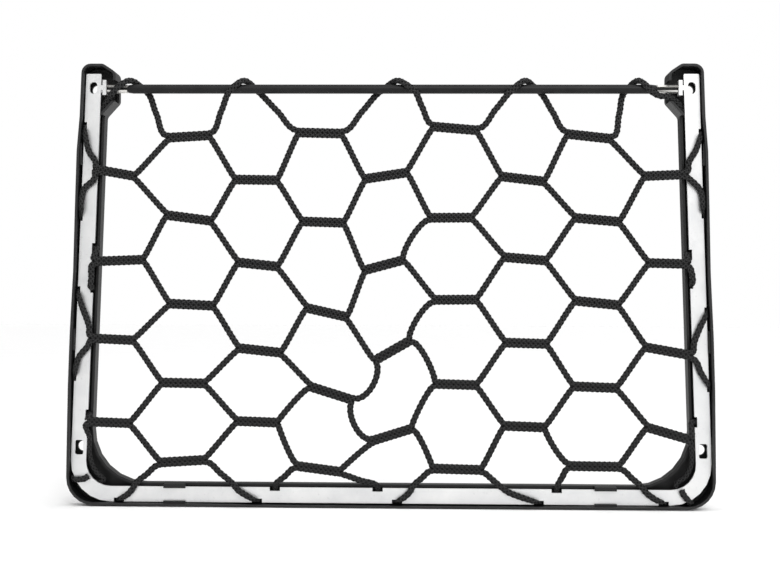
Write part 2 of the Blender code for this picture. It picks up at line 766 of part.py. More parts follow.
def round_outer_edge(run, outer, onward):
    _, edge = edge_middles(run, outer)
    onward = outer + (onward - outer) * 0.12
    return [
        Station(on_run(run, outer, edge, EDGE_Y), slanted(run, outer, 1, 0), EDGE_WIDE, EDGE_THICK),
        Station(on_run(run, onward, edge - 0.8, 6.45), slanted(run, outer, 0.5, 0.87), EDGE_WIDE, 1.0),
    ]


def back_inside(run, outer, back, turn):
    """Stations under the strip and out at its inner edge."""
    inner, _ = edge_middles(run, back)
    stations = [Station(on_run(run, (outer + back) / 2, 0, 6.8), BACK, CORD, 1.25)]
    if turn == "gap":
        return stations + [
            Station(on_run(run, back, inner + 2.2, 6.6), slanted(run, back, -0.25, 0.97), EDGE_WIDE, 1.0),
            Station(on_run(run, back, inner, 5.25), slanted(run, back, -0.6, 0.8), EDGE_WIDE, 0.8),
            Station(on_run(run, back, inner - 1.8, 3.9), slanted(run, back, -0.4, 0.9), EDGE_WIDE, 1.1),
        ]
    away = math.copysign(1, back - outer)
    return stations + [
        Station(on_run(run, back, inner + 0.9, 6.45), slanted(run, back, -0.5, 0.87), EDGE_WIDE, 1.0),
        Station(on_run(run, back, inner, EDGE_Y), slanted(run, back, -1, 0), EDGE_WIDE, EDGE_THICK),
        Station(on_run(run, back, inner + 0.8, 1.85), slanted(run, back, -0.5, -0.87), EDGE_WIDE, 1.0),
        Station(on_run(run, back + away * 6, inner + 0.8, 1.7), FRONT, CORD, 1.25),
    ]


def rod_station(x, angle):
    """A ring of the cord on the rod; angle 0 is the wall side, a quarter turn is the top."""
    away = Vector((0, -math.cos(angle), math.sin(angle)))
    thick = TURN_THICK + TURN_CROWN * max(away.z, 0) ** 2
    axis = Vector((x, ROD_Y, ROD_Z))
    return Station(axis + away * (ROD_RADIUS + GAP + 0.05 + thick), away, 2.1, thick)


def rod_turn(first_x, last_x, first, from_angle=-14, to_angle=194, steps=8):
    stations = []
    for k in range(steps + 1):
        share = k / steps
        angle = from_angle + (to_angle - from_angle) * share
        if first == "back":
            angle = 180 - angle
        stations.append(rod_station(first_x + (last_x - first_x) * share, math.radians(angle)))
    return stations


def head_lead(lead):
    """From the rod inside a head, under the strip and out over it to the first side bar."""
    if lead.run == "left":
        turn = rod_turn(lead.turn_from, lead.turn_to, "back", to_angle=176)
        inside = ((-180.6, 2.2, 265.2), (-184.4, 4.4, 260.2))
    else:
        turn = rod_turn(lead.turn_from, lead.turn_to, "back", to_angle=206)
        inside = ((172.2, 2.6, 264.0), (178.2, 3.8, 263.6), (183.0, 5.2, 261.0))
    stations = turn + [Station(Vector(p), FRONT, CORD, 1.4) for p in inside]
    for across, y, z in ((-4.2, 6.7, 254.0), (-1.5, 6.8, 249.0)):
        stations.append(Station(on_run(lead.run, z, across, y), BACK, CORD, 1.2))
    over = over_strip(lead.run, lead.inner, lead.via_across, lead.via_along, lead.outer, rise=False)
    return stations + round_outer_edge(lead.run, lead.outer, lead.outer + 6)[::-1] + over[::-1]


def tail_stations(tail):
    """A loose end that turns once round the strip and stops on its other side."""
    edge_turn = round_outer_edge(tail.run, tail.outer, tail.under)
    if tail.run == "bottom":
        stop = Station(on_run(tail.run, tail.under, 0.3, 6.8), BACK, CORD, 1.2)
        over = over_strip(tail.run, tail.inner, 0, tail.via, tail.outer)
        return over + edge_turn + [stop]
    side = -1 if tail.run.endswith("left") else 1
    stations = [
        Station(Vector((side * x, y, z)), FRONT, 1.75, 1.4) for x, y, z in TAIL_LEADS[tail.run]
    ]
    stations.append(Station(on_run(tail.run, tail.via, 0.5, 6.9), BACK, CORD, 1.2))
    over = over_strip(tail.run, tail.under, -1.5, tail.under, tail.outer, rise=False)
    return stations + edge_turn[::-1] + over[::-1]


BOWS = {  # legs that the laced cord pulls out of line, in millimetres to the left of their run
    ("C4", "D4"): 1.0,
    ("C4", "D5"): -1.2,
    ("D4", "E3"): -6.0,
    ("D4", "E4"): -5.5,
    ("D5", "E4"): 0.8,
    ("E2", "F2"): 3.2,
    ("E3", "F3"): 3.0,
    ("E3", "F4"): 2.8,
    ("E4", "F4"): 1.5,
    ("E4", "F5"): 1.2,
    ("G4", "H5"): -2.0,
}


def bar_of(strand, column):
    """The bar that a strand passes in a column, and its half of that bar."""
    if column % 2 == 0:
        row = (strand + 1) // 2
        half = "upper" if strand % 2 else "lower"
    else:
        row = strand // 2 + 1
        half = "lower" if strand % 2 else "upper"
    return f"{COLUMNS[column]}{row}", half


def build_net(parts):
    net = Net()
    for column, rows in BARS.items():
        for number, row in enumerate(rows, 1):
            net.bar(f"{column}{number}", *row)
    for strand in range(1, 9):
        for column in range(len(COLUMNS) - 1):
            bar, half = bar_of(strand, column)
            next_bar, next_half = bar_of(strand, column + 1)
            start, end = (bar, "right", half), (next_bar, "left", next_half)
            ends = [(net.middle(net.ends[key][0]), net.ends[key][1]) for key in (start, end)]
            bow = BOWS.get((bar, next_bar), 0)
            net.cord(start, leg_stations(ends[0], ends[1], bow), end)
    for turn in ROD_TURNS:
        stations = rod_turn(turn.first_x, turn.last_x, turn.first)
        start, end = (turn.start, "right", "upper"), (turn.end, "left", "upper")
        lead_in = half_way(net, start, stations[0])
        lead_out = half_way(net, end, stations[-1])
        net.cord(start, [lead_in] + stations + [lead_out], end)
    for lead in HEAD_LEADS:
        stations = head_lead(lead)
        start = (lead.rod_bar, lead.run, "upper")
        net.cord(start, [half_way(net, start, stations[0])] + stations, (lead.bar, lead.run, "upper"))
    for row in LACINGS:
        lace(net, row)
    for tail in TAILS:
        start = (tail.bar, "left" if tail.bar[0] in "AB" else "right", "lower")
        stations = tail_stations(tail)
        if tail.run == "bottom":
            stations.insert(0, half_way(net, start, stations[0]))
        net.cord(start, stations)
    return net_object(net, parts)


def half_way(net, key, station):
    """A ring halfway from a bar's end to a station."""
    ring, way = net.ends[key]
    middle = net.middle(ring) + way * 1.5
    return Station((middle + station.point) / 2, FRONT, CORD, CORD_DEPTH)


def lace(net, row):
    """One turn round the strip, joined to the bars at both its ends."""
    bottom = row.run == "bottom"
    stations = over_strip(row.run, row.inner, row.via_across, row.via_along, row.outer, rise=bottom)
    stations += round_outer_edge(row.run, row.outer, row.back)
    stations += back_inside(row.run, row.outer, row.back, row.turn)
    down = row.start < row.end
    if bottom:
        start = (row.start, "right" if down else "left", "lower")
        end = (row.end, "left" if down else "right", "lower")
        stations = [half_way(net, start, stations[0])] + stations + [half_way(net, end, stations[-1])]
    else:
        start = (row.start, row.run, "lower" if down else "upper")
        end = (row.end, row.run, "upper" if down else "lower")
    net.cord(start, stations, end)


def net_object(net, parts):
    mesh = bpy.data.meshes.new("net")
    mesh.from_pydata([p * MM for p in net.points], [], net.faces)
    shape = bmesh.new()
    shape.from_mesh(mesh)
    bmesh.ops.recalc_face_normals(shape, faces=shape.faces)
    shape.to_mesh(mesh)
    shape.free()
    made = bpy.data.objects.new("net", mesh)
    parts.objects.link(made)
    return made


# ---------------------------------------------------------------- assembly

def main():
    clear_scene()
    parts = collection("cargo net")
    cutters = collection("cutters")
    datum = bpy.data.objects.new("datum", None)
    datum.location.z = -(FRAME_BOTTOM[0][1] + WALL / 2) * MM
    parts.objects.link(datum)

    plastic = finish("black moulding", (0.022, 0.022, 0.024), 0.55, 0)
    rubber = finish("black rod", (0.02, 0.02, 0.021), 0.4, 0)
    aluminium = finish("aluminium", (0.78, 0.79, 0.8), 0.35, 1)
    steel = finish("steel", (0.75, 0.74, 0.72), 0.3, 1)
    cord = finish("black cord", (0.014, 0.014, 0.015), 0.85, 0)

    made = {
        build_frame(parts, cutters): plastic,
        build_strip(parts, cutters): aluminium,
        build_rod(parts): rubber,
        build_sleeve("sleeve_left", -1, parts): steel,
        build_sleeve("sleeve_right", 1, parts): steel,
        build_net(parts): cord,
    }
    for piece, material in made.items():
        piece.data.materials.append(material)
    for piece in [*made, *cutters.objects]:
        piece.parent = datum


main()
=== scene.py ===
# %% [markdown]
# # A cargo net laced into its mounting frame
# The real object is a black braided net, stretched in a U of black moulded channel. A metal strip
# lies in the channel and the net's outer cord is laced round it; a straight rod closes the top.
# We start from the packed solids, which fix every size and place. Frame, strip, rod and sleeves
# keep their solids and only get a finish. The net gets real braided cord, because its braid is what
# one sees first.

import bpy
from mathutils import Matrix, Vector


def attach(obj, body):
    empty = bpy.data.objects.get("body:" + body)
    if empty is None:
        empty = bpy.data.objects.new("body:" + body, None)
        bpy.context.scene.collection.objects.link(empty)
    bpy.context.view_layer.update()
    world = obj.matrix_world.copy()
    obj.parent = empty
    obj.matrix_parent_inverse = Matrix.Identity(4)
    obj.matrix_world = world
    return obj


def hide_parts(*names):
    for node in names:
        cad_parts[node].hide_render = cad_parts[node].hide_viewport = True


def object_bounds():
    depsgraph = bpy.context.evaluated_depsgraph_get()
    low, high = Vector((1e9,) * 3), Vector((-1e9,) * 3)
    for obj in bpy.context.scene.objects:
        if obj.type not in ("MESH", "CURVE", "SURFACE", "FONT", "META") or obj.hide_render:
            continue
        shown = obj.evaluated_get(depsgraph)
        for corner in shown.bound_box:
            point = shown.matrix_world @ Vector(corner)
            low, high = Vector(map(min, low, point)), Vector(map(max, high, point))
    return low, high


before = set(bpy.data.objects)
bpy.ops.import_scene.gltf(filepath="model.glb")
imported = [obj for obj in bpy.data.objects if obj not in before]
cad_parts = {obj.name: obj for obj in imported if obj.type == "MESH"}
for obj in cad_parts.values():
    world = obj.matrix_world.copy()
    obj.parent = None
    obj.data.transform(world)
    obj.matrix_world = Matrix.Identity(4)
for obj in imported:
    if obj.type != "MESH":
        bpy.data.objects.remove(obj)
cad_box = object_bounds()
print("solids:", sorted(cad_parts))
print("box in millimetres:", [[round(c * 1000, 1) for c in corner] for corner in cad_box])

# %% Tools of this lesson
import math
from collections import namedtuple

import bpy
import numpy as np
from mathutils import Matrix, Vector

MM = 0.001
DATUM = 0.1  # the drawing's zero lies this far above the part's origin, in millimetres

# %% [markdown]
# ## Camera
# The object was photographed square on, from a little right of its middle and a little below its
# own middle height. We give the camera three axes and a place, because a matrix of measured axes
# is easier to correct than three angles. The lens is in millimetres on a 36 mm sensor.

# %% Camera
AIM = Vector((0.0, 0.0, 137.0))
DISTANCE = 740.0
PAN = math.radians(1.2)
TILT = math.radians(1.2)
ROLL = 0.0044
LENS = 53.365

ahead = Vector((-math.sin(PAN), math.cos(PAN) * math.cos(TILT), math.sin(TILT))).normalized()
level = ahead.cross(Vector((0, 0, 1))).normalized()
upright = level.cross(ahead)
right = math.cos(ROLL) * level + math.sin(ROLL) * upright
up = -math.sin(ROLL) * level + math.cos(ROLL) * upright
eye = (AIM - ahead * DISTANCE + Vector((0, 0, DATUM))) * MM

camera_data = bpy.data.cameras.new("camera")
camera_data.lens = LENS
camera_data.sensor_width = 36.0
camera_data.sensor_fit = "HORIZONTAL"
camera = bpy.data.objects.new("camera", camera_data)
bpy.context.scene.collection.objects.link(camera)
camera.matrix_world = Matrix.Translation(eye) @ Matrix((right, up, -ahead)).transposed().to_4x4()
bpy.context.scene.camera = camera
print("camera at", [round(c, 4) for c in eye])

# %% [markdown]
# ## Shader maths as Python
# A material is a small sum over nodes. Wrapped sockets let us write that sum as an expression, such
# as `1 - mask`, and every operator adds its Math node.

# %% Wrapped sockets and a finish
class Link:
    """An output socket that takes part in Python sums."""

    def __init__(self, finish, socket):
        self.finish = finish
        self.socket = socket

    def maths(self, operation, first, second):
        return self.finish.node("ShaderNodeMath", {"operation": operation}, {0: first, 1: second})

    def __add__(self, other):
        return self.maths("ADD", self, other)

    def __radd__(self, other):
        return self.maths("ADD", other, self)

    def __sub__(self, other):
        return self.maths("SUBTRACT", self, other)

    def __rsub__(self, other):
        return self.maths("SUBTRACT", other, self)

    def __mul__(self, other):
        return self.maths("MULTIPLY", self, other)

    def __abs__(self):
        return self.maths("ABSOLUTE", self, 0.0)

    def sine(self):
        return self.maths("SINE", self, 0.0)


class Finish:
    """A material whose nodes are added by name."""

    def __init__(self, name):
        self.material = bpy.data.materials.new(name)
        self.material.use_nodes = True
        self.tree = self.material.node_tree
        self.tree.nodes.clear()
        self.count = 0

    def node(self, kind, settings=None, inputs=None, output=0):
        made = self.tree.nodes.new(kind)
        made.location = (180 * (self.count % 12), -220 * (self.count // 12))
        self.count += 1
        for key, value in (settings or {}).items():
            setattr(made, key, value)
        for key, value in (inputs or {}).items():
            slot = made.inputs[key]
            if isinstance(value, Link):
                self.tree.links.new(value.socket, slot)
            else:
                slot.default_value = value
        return Link(self, made.outputs[output]) if made.outputs else made

    def place(self, scale=(1, 1, 1)):
        """Object coordinates, stretched."""
        where = self.node("ShaderNodeTexCoord", output="Object")
        return self.node("ShaderNodeMapping", None, {"Vector": where, "Scale": scale})

    def noise(self, vector, scale, detail=3.0, roughness=0.55):
        return self.node(
            "ShaderNodeTexNoise", None,
            {"Vector": vector, "Scale": scale, "Detail": detail, "Roughness": roughness},
        )

    def fade(self, value, low, high, start=0.0, end=1.0):
        """From start to end while the value goes from low to high, held outside."""
        return self.node(
            "ShaderNodeMapRange", {"clamp": True},
            {"Value": value, "From Min": low, "From Max": high, "To Min": start, "To Max": end},
            output="Result",
        )

    def blend(self, share, first, second):
        """A colour between two colours."""
        return self.node(
            "ShaderNodeMix", {"data_type": "RGBA"}, {0: share, 6: first, 7: second}, output=2
        )

    def bump(self, height, distance, strength=1.0):
        return self.node(
            "ShaderNodeBump", None, {"Height": height, "Distance": distance, "Strength": strength}
        )

    def surface(self, **inputs):
        named = {key.replace("_", " "): value for key, value in inputs.items()}
        shader = self.node("ShaderNodeBsdfPrincipled", None, named)
        self.node("ShaderNodeOutputMaterial", None, {"Surface": shader})
        return self.material


print("operators:", [name for name in vars(Link) if name.startswith("__")])

# %% [markdown]
# ## Black moulding
# The channel is moulded in black plastic. Its rims are painted a little greyer than the deep inside
# of the channel, a painted highlight on the rims and painted shade deeper in, and the skin has a
# fine grain. Depth in the channel is the object's y, so the painted light is a fade along y, broken
# up by noise; the grain is a bump.

# %% Black moulding
def moulding():
    finish = Finish("black moulding")
    where = finish.node("ShaderNodeTexCoord", output="Object")
    depth = finish.node("ShaderNodeSeparateXYZ", None, {0: where}, output=1)
    cloud = finish.noise(finish.place(), 60.0)
    grain = finish.noise(finish.place(), 2600.0, 2.0)
    flow = finish.noise(finish.place((1, 1, 0.25)), 320.0)
    # painted light: the rims are painted lighter, a painted highlight, and the deep inside darker,
    # painted shade
    rim = finish.fade(depth, 0.0004, 0.0022, 1.0, 0.0) * finish.fade(cloud, 0.3, 0.65, 0.55, 1.0)
    shade = finish.blend(rim, (0.004, 0.004, 0.0043, 1), (0.018, 0.018, 0.0186, 1))
    streaks = finish.fade(flow, 0.45, 0.75, 0.0, 0.35)
    shade = finish.blend(streaks, shade, (0.011, 0.011, 0.0115, 1))
    rough = 0.46 + (grain - 0.5) * 0.16 + rim * 0.08
    return finish.surface(
        Base_Color=shade, Roughness=rough, Specular_IOR_Level=0.33,
        Normal=finish.bump(grain * 0.7 + flow * 0.3, 0.00004, 0.5),
    )


plastic = moulding()
print(plastic.name, len(plastic.node_tree.nodes), "nodes")

# %% [markdown]
# ## Rolled aluminium
# The strip is flat rolled aluminium with a pale, slightly cloudy face and faint lines along its
# length. The lines run up the two sides and across at the bottom, so two stretched noises are mixed
# by the distance from the middle.

# %% Rolled aluminium
def aluminium():
    finish = Finish("rolled aluminium")
    where = finish.node("ShaderNodeTexCoord", output="Object")
    x = finish.node("ShaderNodeSeparateXYZ", None, {0: where}, output=0)
    sideways = finish.noise(finish.place((1, 1, 0.012)), 2400.0, 4.0)
    crossways = finish.noise(finish.place((0.012, 1, 1)), 2400.0, 4.0)
    on_side = finish.fade(abs(x), 0.182, 0.192)
    lines = sideways * on_side + crossways * (1 - on_side)
    cloud = finish.noise(finish.place(), 45.0, 4.0)
    spots = finish.noise(finish.place(), 520.0, 3.0)
    polished = finish.fade(cloud, 0.35, 0.7)
    shade = finish.blend(polished, (0.74, 0.745, 0.75, 1), (0.86, 0.86, 0.855, 1))
    dull = finish.fade(spots, 0.62, 0.78, 0.0, 0.35)
    shade = finish.blend(dull, shade, (0.52, 0.52, 0.52, 1))
    rough = 0.3 + lines * 0.16 + cloud * 0.08
    return finish.surface(
        Base_Color=shade, Roughness=rough, Metallic=0.9,
        Normal=finish.bump(lines * 0.8 + spots * 0.2, 0.00002, 0.45),
    )


metal = aluminium()
print(metal.name, len(metal.node_tree.nodes), "nodes")

# %% [markdown]
# ## Satin rod and steel sleeves
# The rod is black and smoother than the moulding, with faint drawn lines along it. The two short
# sleeves are bright rolled steel, so their finish is mostly metal and gloss, with lines round them.

# %% Satin rod and steel sleeves
def satin_black():
    finish = Finish("satin black rod")
    drawn = finish.noise(finish.place((0.02, 1, 1)), 3000.0, 3.0)
    cloud = finish.noise(finish.place(), 90.0)
    worn = finish.fade(cloud, 0.4, 0.7)
    shade = finish.blend(worn, (0.006, 0.006, 0.0065, 1), (0.011, 0.011, 0.0115, 1))
    return finish.surface(
        Base_Color=shade, Roughness=0.42 + drawn * 0.14, Specular_IOR_Level=0.22,
        Normal=finish.bump(drawn, 0.000015, 0.4),
    )


def bright_steel():
    finish = Finish("bright steel")
    turned = finish.noise(finish.place((1, 0.05, 0.05)), 2600.0, 3.0)
    cloud = finish.noise(finish.place(), 300.0)
    shade = finish.blend(cloud, (0.72, 0.71, 0.68, 1), (0.88, 0.87, 0.84, 1))
    return finish.surface(
        Base_Color=shade, Roughness=0.32 + turned * 0.16, Metallic=0.85,
        Normal=finish.bump(turned, 0.00001, 0.4),
    )


black_rod = satin_black()
steel = bright_steel()
print(black_rod.name, "and", steel.name)

# %% [markdown]
# ## Black braided yarn
# Each strand of the braid is a flat bundle of filaments. Its UV map runs along the strand in u and
# round it in v, so fine waves over v, slanted by u, are the filaments, at their real scale. The
# strand's crown lies at v = 0.3 and is painted paler than its flanks, a painted highlight on the
# crown and painted shade on the flanks, where they sink into the braid's gaps.
# Yarn is dull and scatters light at grazing angles, which is what the shader's sheen is for.

# %% Black braided yarn
CROWN_V = 0.3


def yarn():
    finish = Finish("black braided yarn")
    uv = finish.node("ShaderNodeUVMap", {"uv_map": "yarn"})
    u = finish.node("ShaderNodeSeparateXYZ", None, {0: uv}, output=0)
    v = finish.node("ShaderNodeSeparateXYZ", None, {0: uv}, output=1)
    wander = finish.noise(uv, 3.0, 2.0)
    filaments = ((v * 9 + u * 0.45 + wander * 0.7) * math.tau).sine()
    fuzz = finish.noise(finish.place(), 1500.0, 3.0)
    cloud = finish.noise(finish.place(), 150.0, 2.0)
    # painted light: a painted highlight along each strand's crown, painted shade on its flanks
    painted_crown_light = finish.fade(abs(v - CROWN_V), 0.06, 0.2, 1.0, 0.0)
    height = filaments * 0.4 + fuzz * 0.5
    shade = finish.blend(painted_crown_light, (0.0012, 0.0012, 0.0013, 1), (0.03, 0.03, 0.0306, 1))
    between = finish.fade(filaments, 0.2, 1.0, 0.0, 0.5)
    shade = finish.blend(between, shade, (0.004, 0.004, 0.0042, 1))
    dusty = finish.fade(cloud, 0.5, 0.8, 0.0, 0.3)
    shade = finish.blend(dusty, shade, (0.02, 0.02, 0.0204, 1))
    return finish.surface(
        Base_Color=shade, Roughness=0.5 + fuzz * 0.16, Specular_IOR_Level=0.2,
        Sheen_Weight=0.04, Sheen_Roughness=0.45, Normal=finish.bump(height, 0.00005, 0.5),
    )


cord_yarn = yarn()
print(cord_yarn.name, len(cord_yarn.node_tree.nodes), "nodes")

# %% [markdown]
# ## Finishes on the solids that stay
# Five solids already have the real pieces' form, so they keep their meshes. A packed mesh comes
# with a plain material, which is cleared before the finish is put in its place.

# %% Finishes on the solids that stay
FINISHES = {
    "channel_frame": plastic,
    "metal_strip": metal,
    "top_rod": black_rod,
    "sleeve_left": steel,
    "sleeve_right": steel,
}
for node, material in FINISHES.items():
    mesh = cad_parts[node].data
    mesh.materials.clear()
    mesh.materials.append(material)
    print(node, "->", material.name)

# %% [markdown]
# ## The net as a drawing
# The net has nine columns of short bars, where two cords are braided into one, and legs between
# them. We write each bar once, as its middle, its run and its rise, and everything else follows:
# a leg joins two bars' ends, and at the edges the cord is laced round the metal strip. All
# numbers are millimetres on the drawing, the same ones that shape the solids.

# %% Bars of the net
COLUMNS = "ABCDEFGHI"
BARS = {  # middle x, middle z, run, rise
    "A": ((-178.1, 213.8, 25.3, -4.4), (-175.1, 157.0, 31.9, 1.3), (-178.8, 106.2, 28.0, -1.2),
          (-180.5, 52.7, 27.8, -0.9)),
    "B": ((-130.8, 237.6, 26.7, 1.7), (-130.2, 184.7, 29.3, -3.7), (-128.1, 128.7, 29.1, -1.3),
          (-132.8, 78.3, 28.5, -0.4), (-132.8, 28.2, 29.4, 1.9)),
    "C": ((-87.0, 209.6, 27.8, -0.3), (-85.4, 154.8, 26.2, -2.7), (-83.7, 99.5, 27.8, -2.9),
          (-84.9, 53.7, 27.0, -0.9)),
    "D": ((-45.9, 240.2, 28.4, -0.6), (-43.6, 182.3, 27.4, -0.8), (-40.8, 124.1, 26.2, -5.8),
          (-37.5, 72.3, 27.7, -8.6), (-45.4, 23.9, 28.2, -3.6)),
    "E": ((-3.1, 212.5, 27.7, 4.3), (-4.0, 154.7, 25.6, 6.9), (1.8, 99.9, 23.0, 13.2),
          (1.9, 46.1, 25.7, 8.1)),
    "F": ((41.4, 243.3, 28.7, -2.5), (39.1, 185.4, 27.4, 0.2), (42.1, 132.6, 27.3, 0.3),
          (42.3, 78.3, 27.2, -0.7), (43.1, 24.3, 31.4, -0.7)),
    "G": ((85.0, 210.5, 27.9, -3.3), (86.5, 159.0, 27.4, -2.2), (87.1, 104.9, 27.1, -0.7),
          (86.2, 51.7, 26.7, -0.9)),
    "H": ((127.5, 238.0, 27.8, -3.2), (132.5, 184.2, 29.0, -2.5), (132.2, 130.9, 28.4, -2.8),
          (131.1, 77.1, 28.3, -0.9), (130.7, 26.7, 31.9, -0.3)),
    "I": ((175.8, 212.8, 27.2, 1.1), (177.5, 156.3, 25.5, -0.6), (177.3, 100.3, 29.0, -5.1),
          (177.4, 48.0, 27.2, -7.8)),
}
BOWS = {  # legs pulled out of line, in millimetres to the left of their run
    ("C4", "D4"): 1.0,
    ("C4", "D5"): -1.2,
    ("D4", "E3"): -6.0,
    ("D4", "E4"): -5.5,
    ("D5", "E4"): 0.8,
    ("E2", "F2"): 3.2,
    ("E3", "F3"): 3.0,
    ("E3", "F4"): 2.8,
    ("E4", "F4"): 1.5,
    ("E4", "F5"): 1.2,
    ("G4", "H5"): -2.0,
}
print(sum(len(rows) for rows in BARS.values()), "bars in", len(BARS), "columns")

# %% [markdown]
# ## Lacing as a table
# Each turn round the strip is one row: the bars it joins, and how far along the strip it crosses
# the inner edge, the face and the outer edge. Turns round the rod, the two leads into the heads
# and the four loose ends have tables of their own, so every place can be checked against the real
# net.

# %% Lacing round the strip
Lacing = namedtuple("Lacing", "run start end inner via_across via_along outer back turn")
LACINGS = (
    Lacing("left", "A1", "A2", 214.0, 3.0, 203.0, 186.0, 165.0, "gap"),
    Lacing("left", "A3", "A2", 110.5, 0.9, 126.5, 137.0, 139.5, "edge"),
    Lacing("left", "A3", "A4", 105.0, 2.0, 94.5, 82.5, 57.5, "gap"),
    Lacing("right", "I1", "I2", 213.0, 3.0, 203.0, 188.5, 162.0, "gap"),
    Lacing("right", "I3", "I2", 103.5, 0.0, 115.5, 125.0, 143.5, "edge"),
    Lacing("right", "I3", "I4", 97.0, -0.5, 87.0, 77.5, 55.0, "gap"),
    Lacing("bottom", "B5", "D5", -99.5, 0.0, -92.0, -85.0, -73.5, "gap"),
    Lacing("bottom", "F5", "D5", 15.0, 0.0, 10.5, 5.0, -7.5, "gap"),
    Lacing("bottom", "F5", "H5", 71.6, 0.0, 84.0, 95.5, 107.0, "gap"),
)
RodTurn = namedtuple("RodTurn", "start end first_x last_x first")
ROD_TURNS = (
    RodTurn("B1", "D1", -103.5, -86.5, "front"),
    RodTurn("D1", "F1", -7.5, 14.5, "back"),
    RodTurn("F1", "H1", 78.0, 96.5, "front"),
)
HeadLead = namedtuple(
    "HeadLead",
    "run bar rod_bar turn_from turn_to to_angle inside outer via_across via_along inner",
)
HEAD_LEADS = {  # inside: x, y, z of the cord's way down through the head
    "left": HeadLead(
        "left", "A1", "B1", -160.0, -177.0, 176,
        ((-180.6, 2.2, 265.2), (-184.4, 4.4, 260.2)), 243.5, 0.5, 227.0, 218.0,
    ),
    "right": HeadLead(
        "right", "I1", "H1", 151.5, 167.0, 206,
        ((172.2, 2.6, 264.0), (178.2, 3.8, 263.6), (183.0, 5.2, 261.0)),
        239.5, 1.0, 229.0, 218.0,
    ),
}
Tail = namedtuple("Tail", "run bar inner via outer under")
TAILS = {
    "bottom_left": Tail("bottom", "B5", -163.5, -168.0, -174.0, -181.0),
    "bottom_right": Tail("bottom", "H5", 161.5, 168.0, 175.0, 181.0),
    "corner_left": Tail("corner_left", "A4", -64, -44, -24, -34),
    "corner_right": Tail("corner_right", "I4", -76, -70, -62, -68),
}
TAIL_LEADS = {  # x, y, z of the corner tails on their way down the inner wall
    "corner_left": (
        (193.4, 3.6, 42.0), (193.2, 3.9, 31.0), (189.3, 5.0, 20.6), (184.6, 6.3, 15.6),
    ),
    "corner_right": (
        (192.8, 3.6, 36.0), (192.7, 3.9, 28.5), (189.4, 5.0, 20.2), (183.4, 6.3, 14.6),
    ),
}
print(len(LACINGS), "turns round the strip,", len(ROD_TURNS), "round the rod")
print(len(HEAD_LEADS), "leads into the heads,", len(TAILS), "loose ends")

# %% [markdown]
# ## Where the strip and the walls are
# The laced cord is pressed between the strip's edge and the channel's wall. So a point beside the
# strip is given along its run and across it, and a few named sizes of the channel say how much room
# there is.

# %% Sizes of the channel
WALL = 1.6
INNER_WALL_TOP = 251.2
INNER_WALL_X = 186.25
INNER_WALL_LEAN = 0.0293
OPENING_BOTTOM = 13.7
CORNER_RADIUS = 17.6
FRAME_SIDE = (
    (30.0, 207.3), (75.0, 206.9), (110.0, 206.0), (150.0, 204.2), (190.0, 203.5), (228.0, 202.7),
    (250.0, 201.0),
)
STRIP_TOP = 278.2
STRIP_TOP_X = 192.8
STRIP_LEAN = 0.0305
STRIP_BOTTOM_Z = 6.8
STRIP_CORNER = 20.8
ROD_Y = 6.3
ROD_Z = 268.9
ROD_RADIUS = 3.0
TURN_THICK = 1.2  # half thickness of a turn where it is pressed to the rod
TURN_CROWN = 1.1  # and how much thicker it is on top
TURN_WIDE = 2.7
TURN_BED = 0.92  # of that half thickness, from the rod's gap to the cord's middle
GAP = 0.3
EDGE_THICK = 0.85
EDGE_WIDE = 2.3
LACE_WIDE = 2.6  # half width of the cord where it lies flat over the strip
EDGE_Y = 4.15
CORD = 2.5  # half width of the braid at its widest
CORD_DEPTH = 1.75
TAIL_WIDE = 1.75  # half width of a corner tail, which is pulled thin
NET_RIM_Y = 1.8
NET_ROD_Y = 5.8
NET_HEIGHT = 240  # where the net reaches the rod's depth
NET_HALF_WIDTH = 195  # where it is back at the rim's depth
CORNER_INNER = -9  # the corner's inner wall, well clear of the cord
CORNER_SPARE = 0.15  # more room at the corner's outer wall
FACE_Y = 1.7  # the cord's middle over the strip's face
BEFORE_EDGE_Y = 1.85  # before the strip's edge, and behind it
BEHIND_EDGE_Y = 6.45
UNDER_Y = 6.8  # under the strip
EDGE_LEAD = 0.8  # from the edge's middle back over the strip
ONWARD = 0.12  # share of the way to the next place where the cord leaves an edge
FRONT = np.array((0.0, -1.0, 0.0))
BACK = -FRONT


def vec(*numbers):
    return np.array(numbers, float)


def unit(v):
    return v / np.linalg.norm(v, axis=-1, keepdims=True)


def inner_wall_x(z):
    return INNER_WALL_X + INNER_WALL_LEAN * (INNER_WALL_TOP - z)


def strip_middle_x(z):
    return STRIP_TOP_X + STRIP_LEAN * (STRIP_TOP - z)


def strip_bend():
    """Centre of the strip's bend between the bottom run and a side run."""
    reach = STRIP_CORNER * math.tan((math.pi / 2 + math.atan(STRIP_LEAN)) / 2)
    return vec(strip_middle_x(STRIP_BOTTOM_Z) - reach, STRIP_BOTTOM_Z + STRIP_CORNER)


def channel_faces(run, along):
    """Across from the strip's middle line to the inner wall's face and to the outer wall's face."""
    if run == "bottom":
        return STRIP_BOTTOM_Z - (OPENING_BOTTOM - WALL), STRIP_BOTTOM_Z - WALL
    if run.startswith("corner"):
        wall = vec(FRAME_SIDE[0][1] - CORNER_RADIUS, CORNER_RADIUS) - strip_bend()
        ray = vec(math.cos(math.radians(along)), math.sin(math.radians(along)))
        onto = wall @ ray
        rest = math.sqrt((CORNER_RADIUS - WALL) ** 2 - wall @ wall + onto**2)
        return CORNER_INNER, onto + rest - STRIP_CORNER
    outer = np.interp(along, *zip(*FRAME_SIDE))
    middle = strip_middle_x(along)
    return inner_wall_x(along) + WALL - middle, outer - WALL - middle


def on_run(run, along, across, y):
    """A point beside the strip's middle line; across grows towards the outer wall."""
    if run == "bottom":
        return vec(along, y, STRIP_BOTTOM_Z - across)
    side = -1 if run.endswith("left") else 1
    if run.startswith("corner"):
        x, z = strip_bend()
        reach, angle = STRIP_CORNER + across, math.radians(along)
        return vec(side * (x + reach * math.cos(angle)), y, z + reach * math.sin(angle))
    return vec(side * (strip_middle_x(along) + across), y, along)


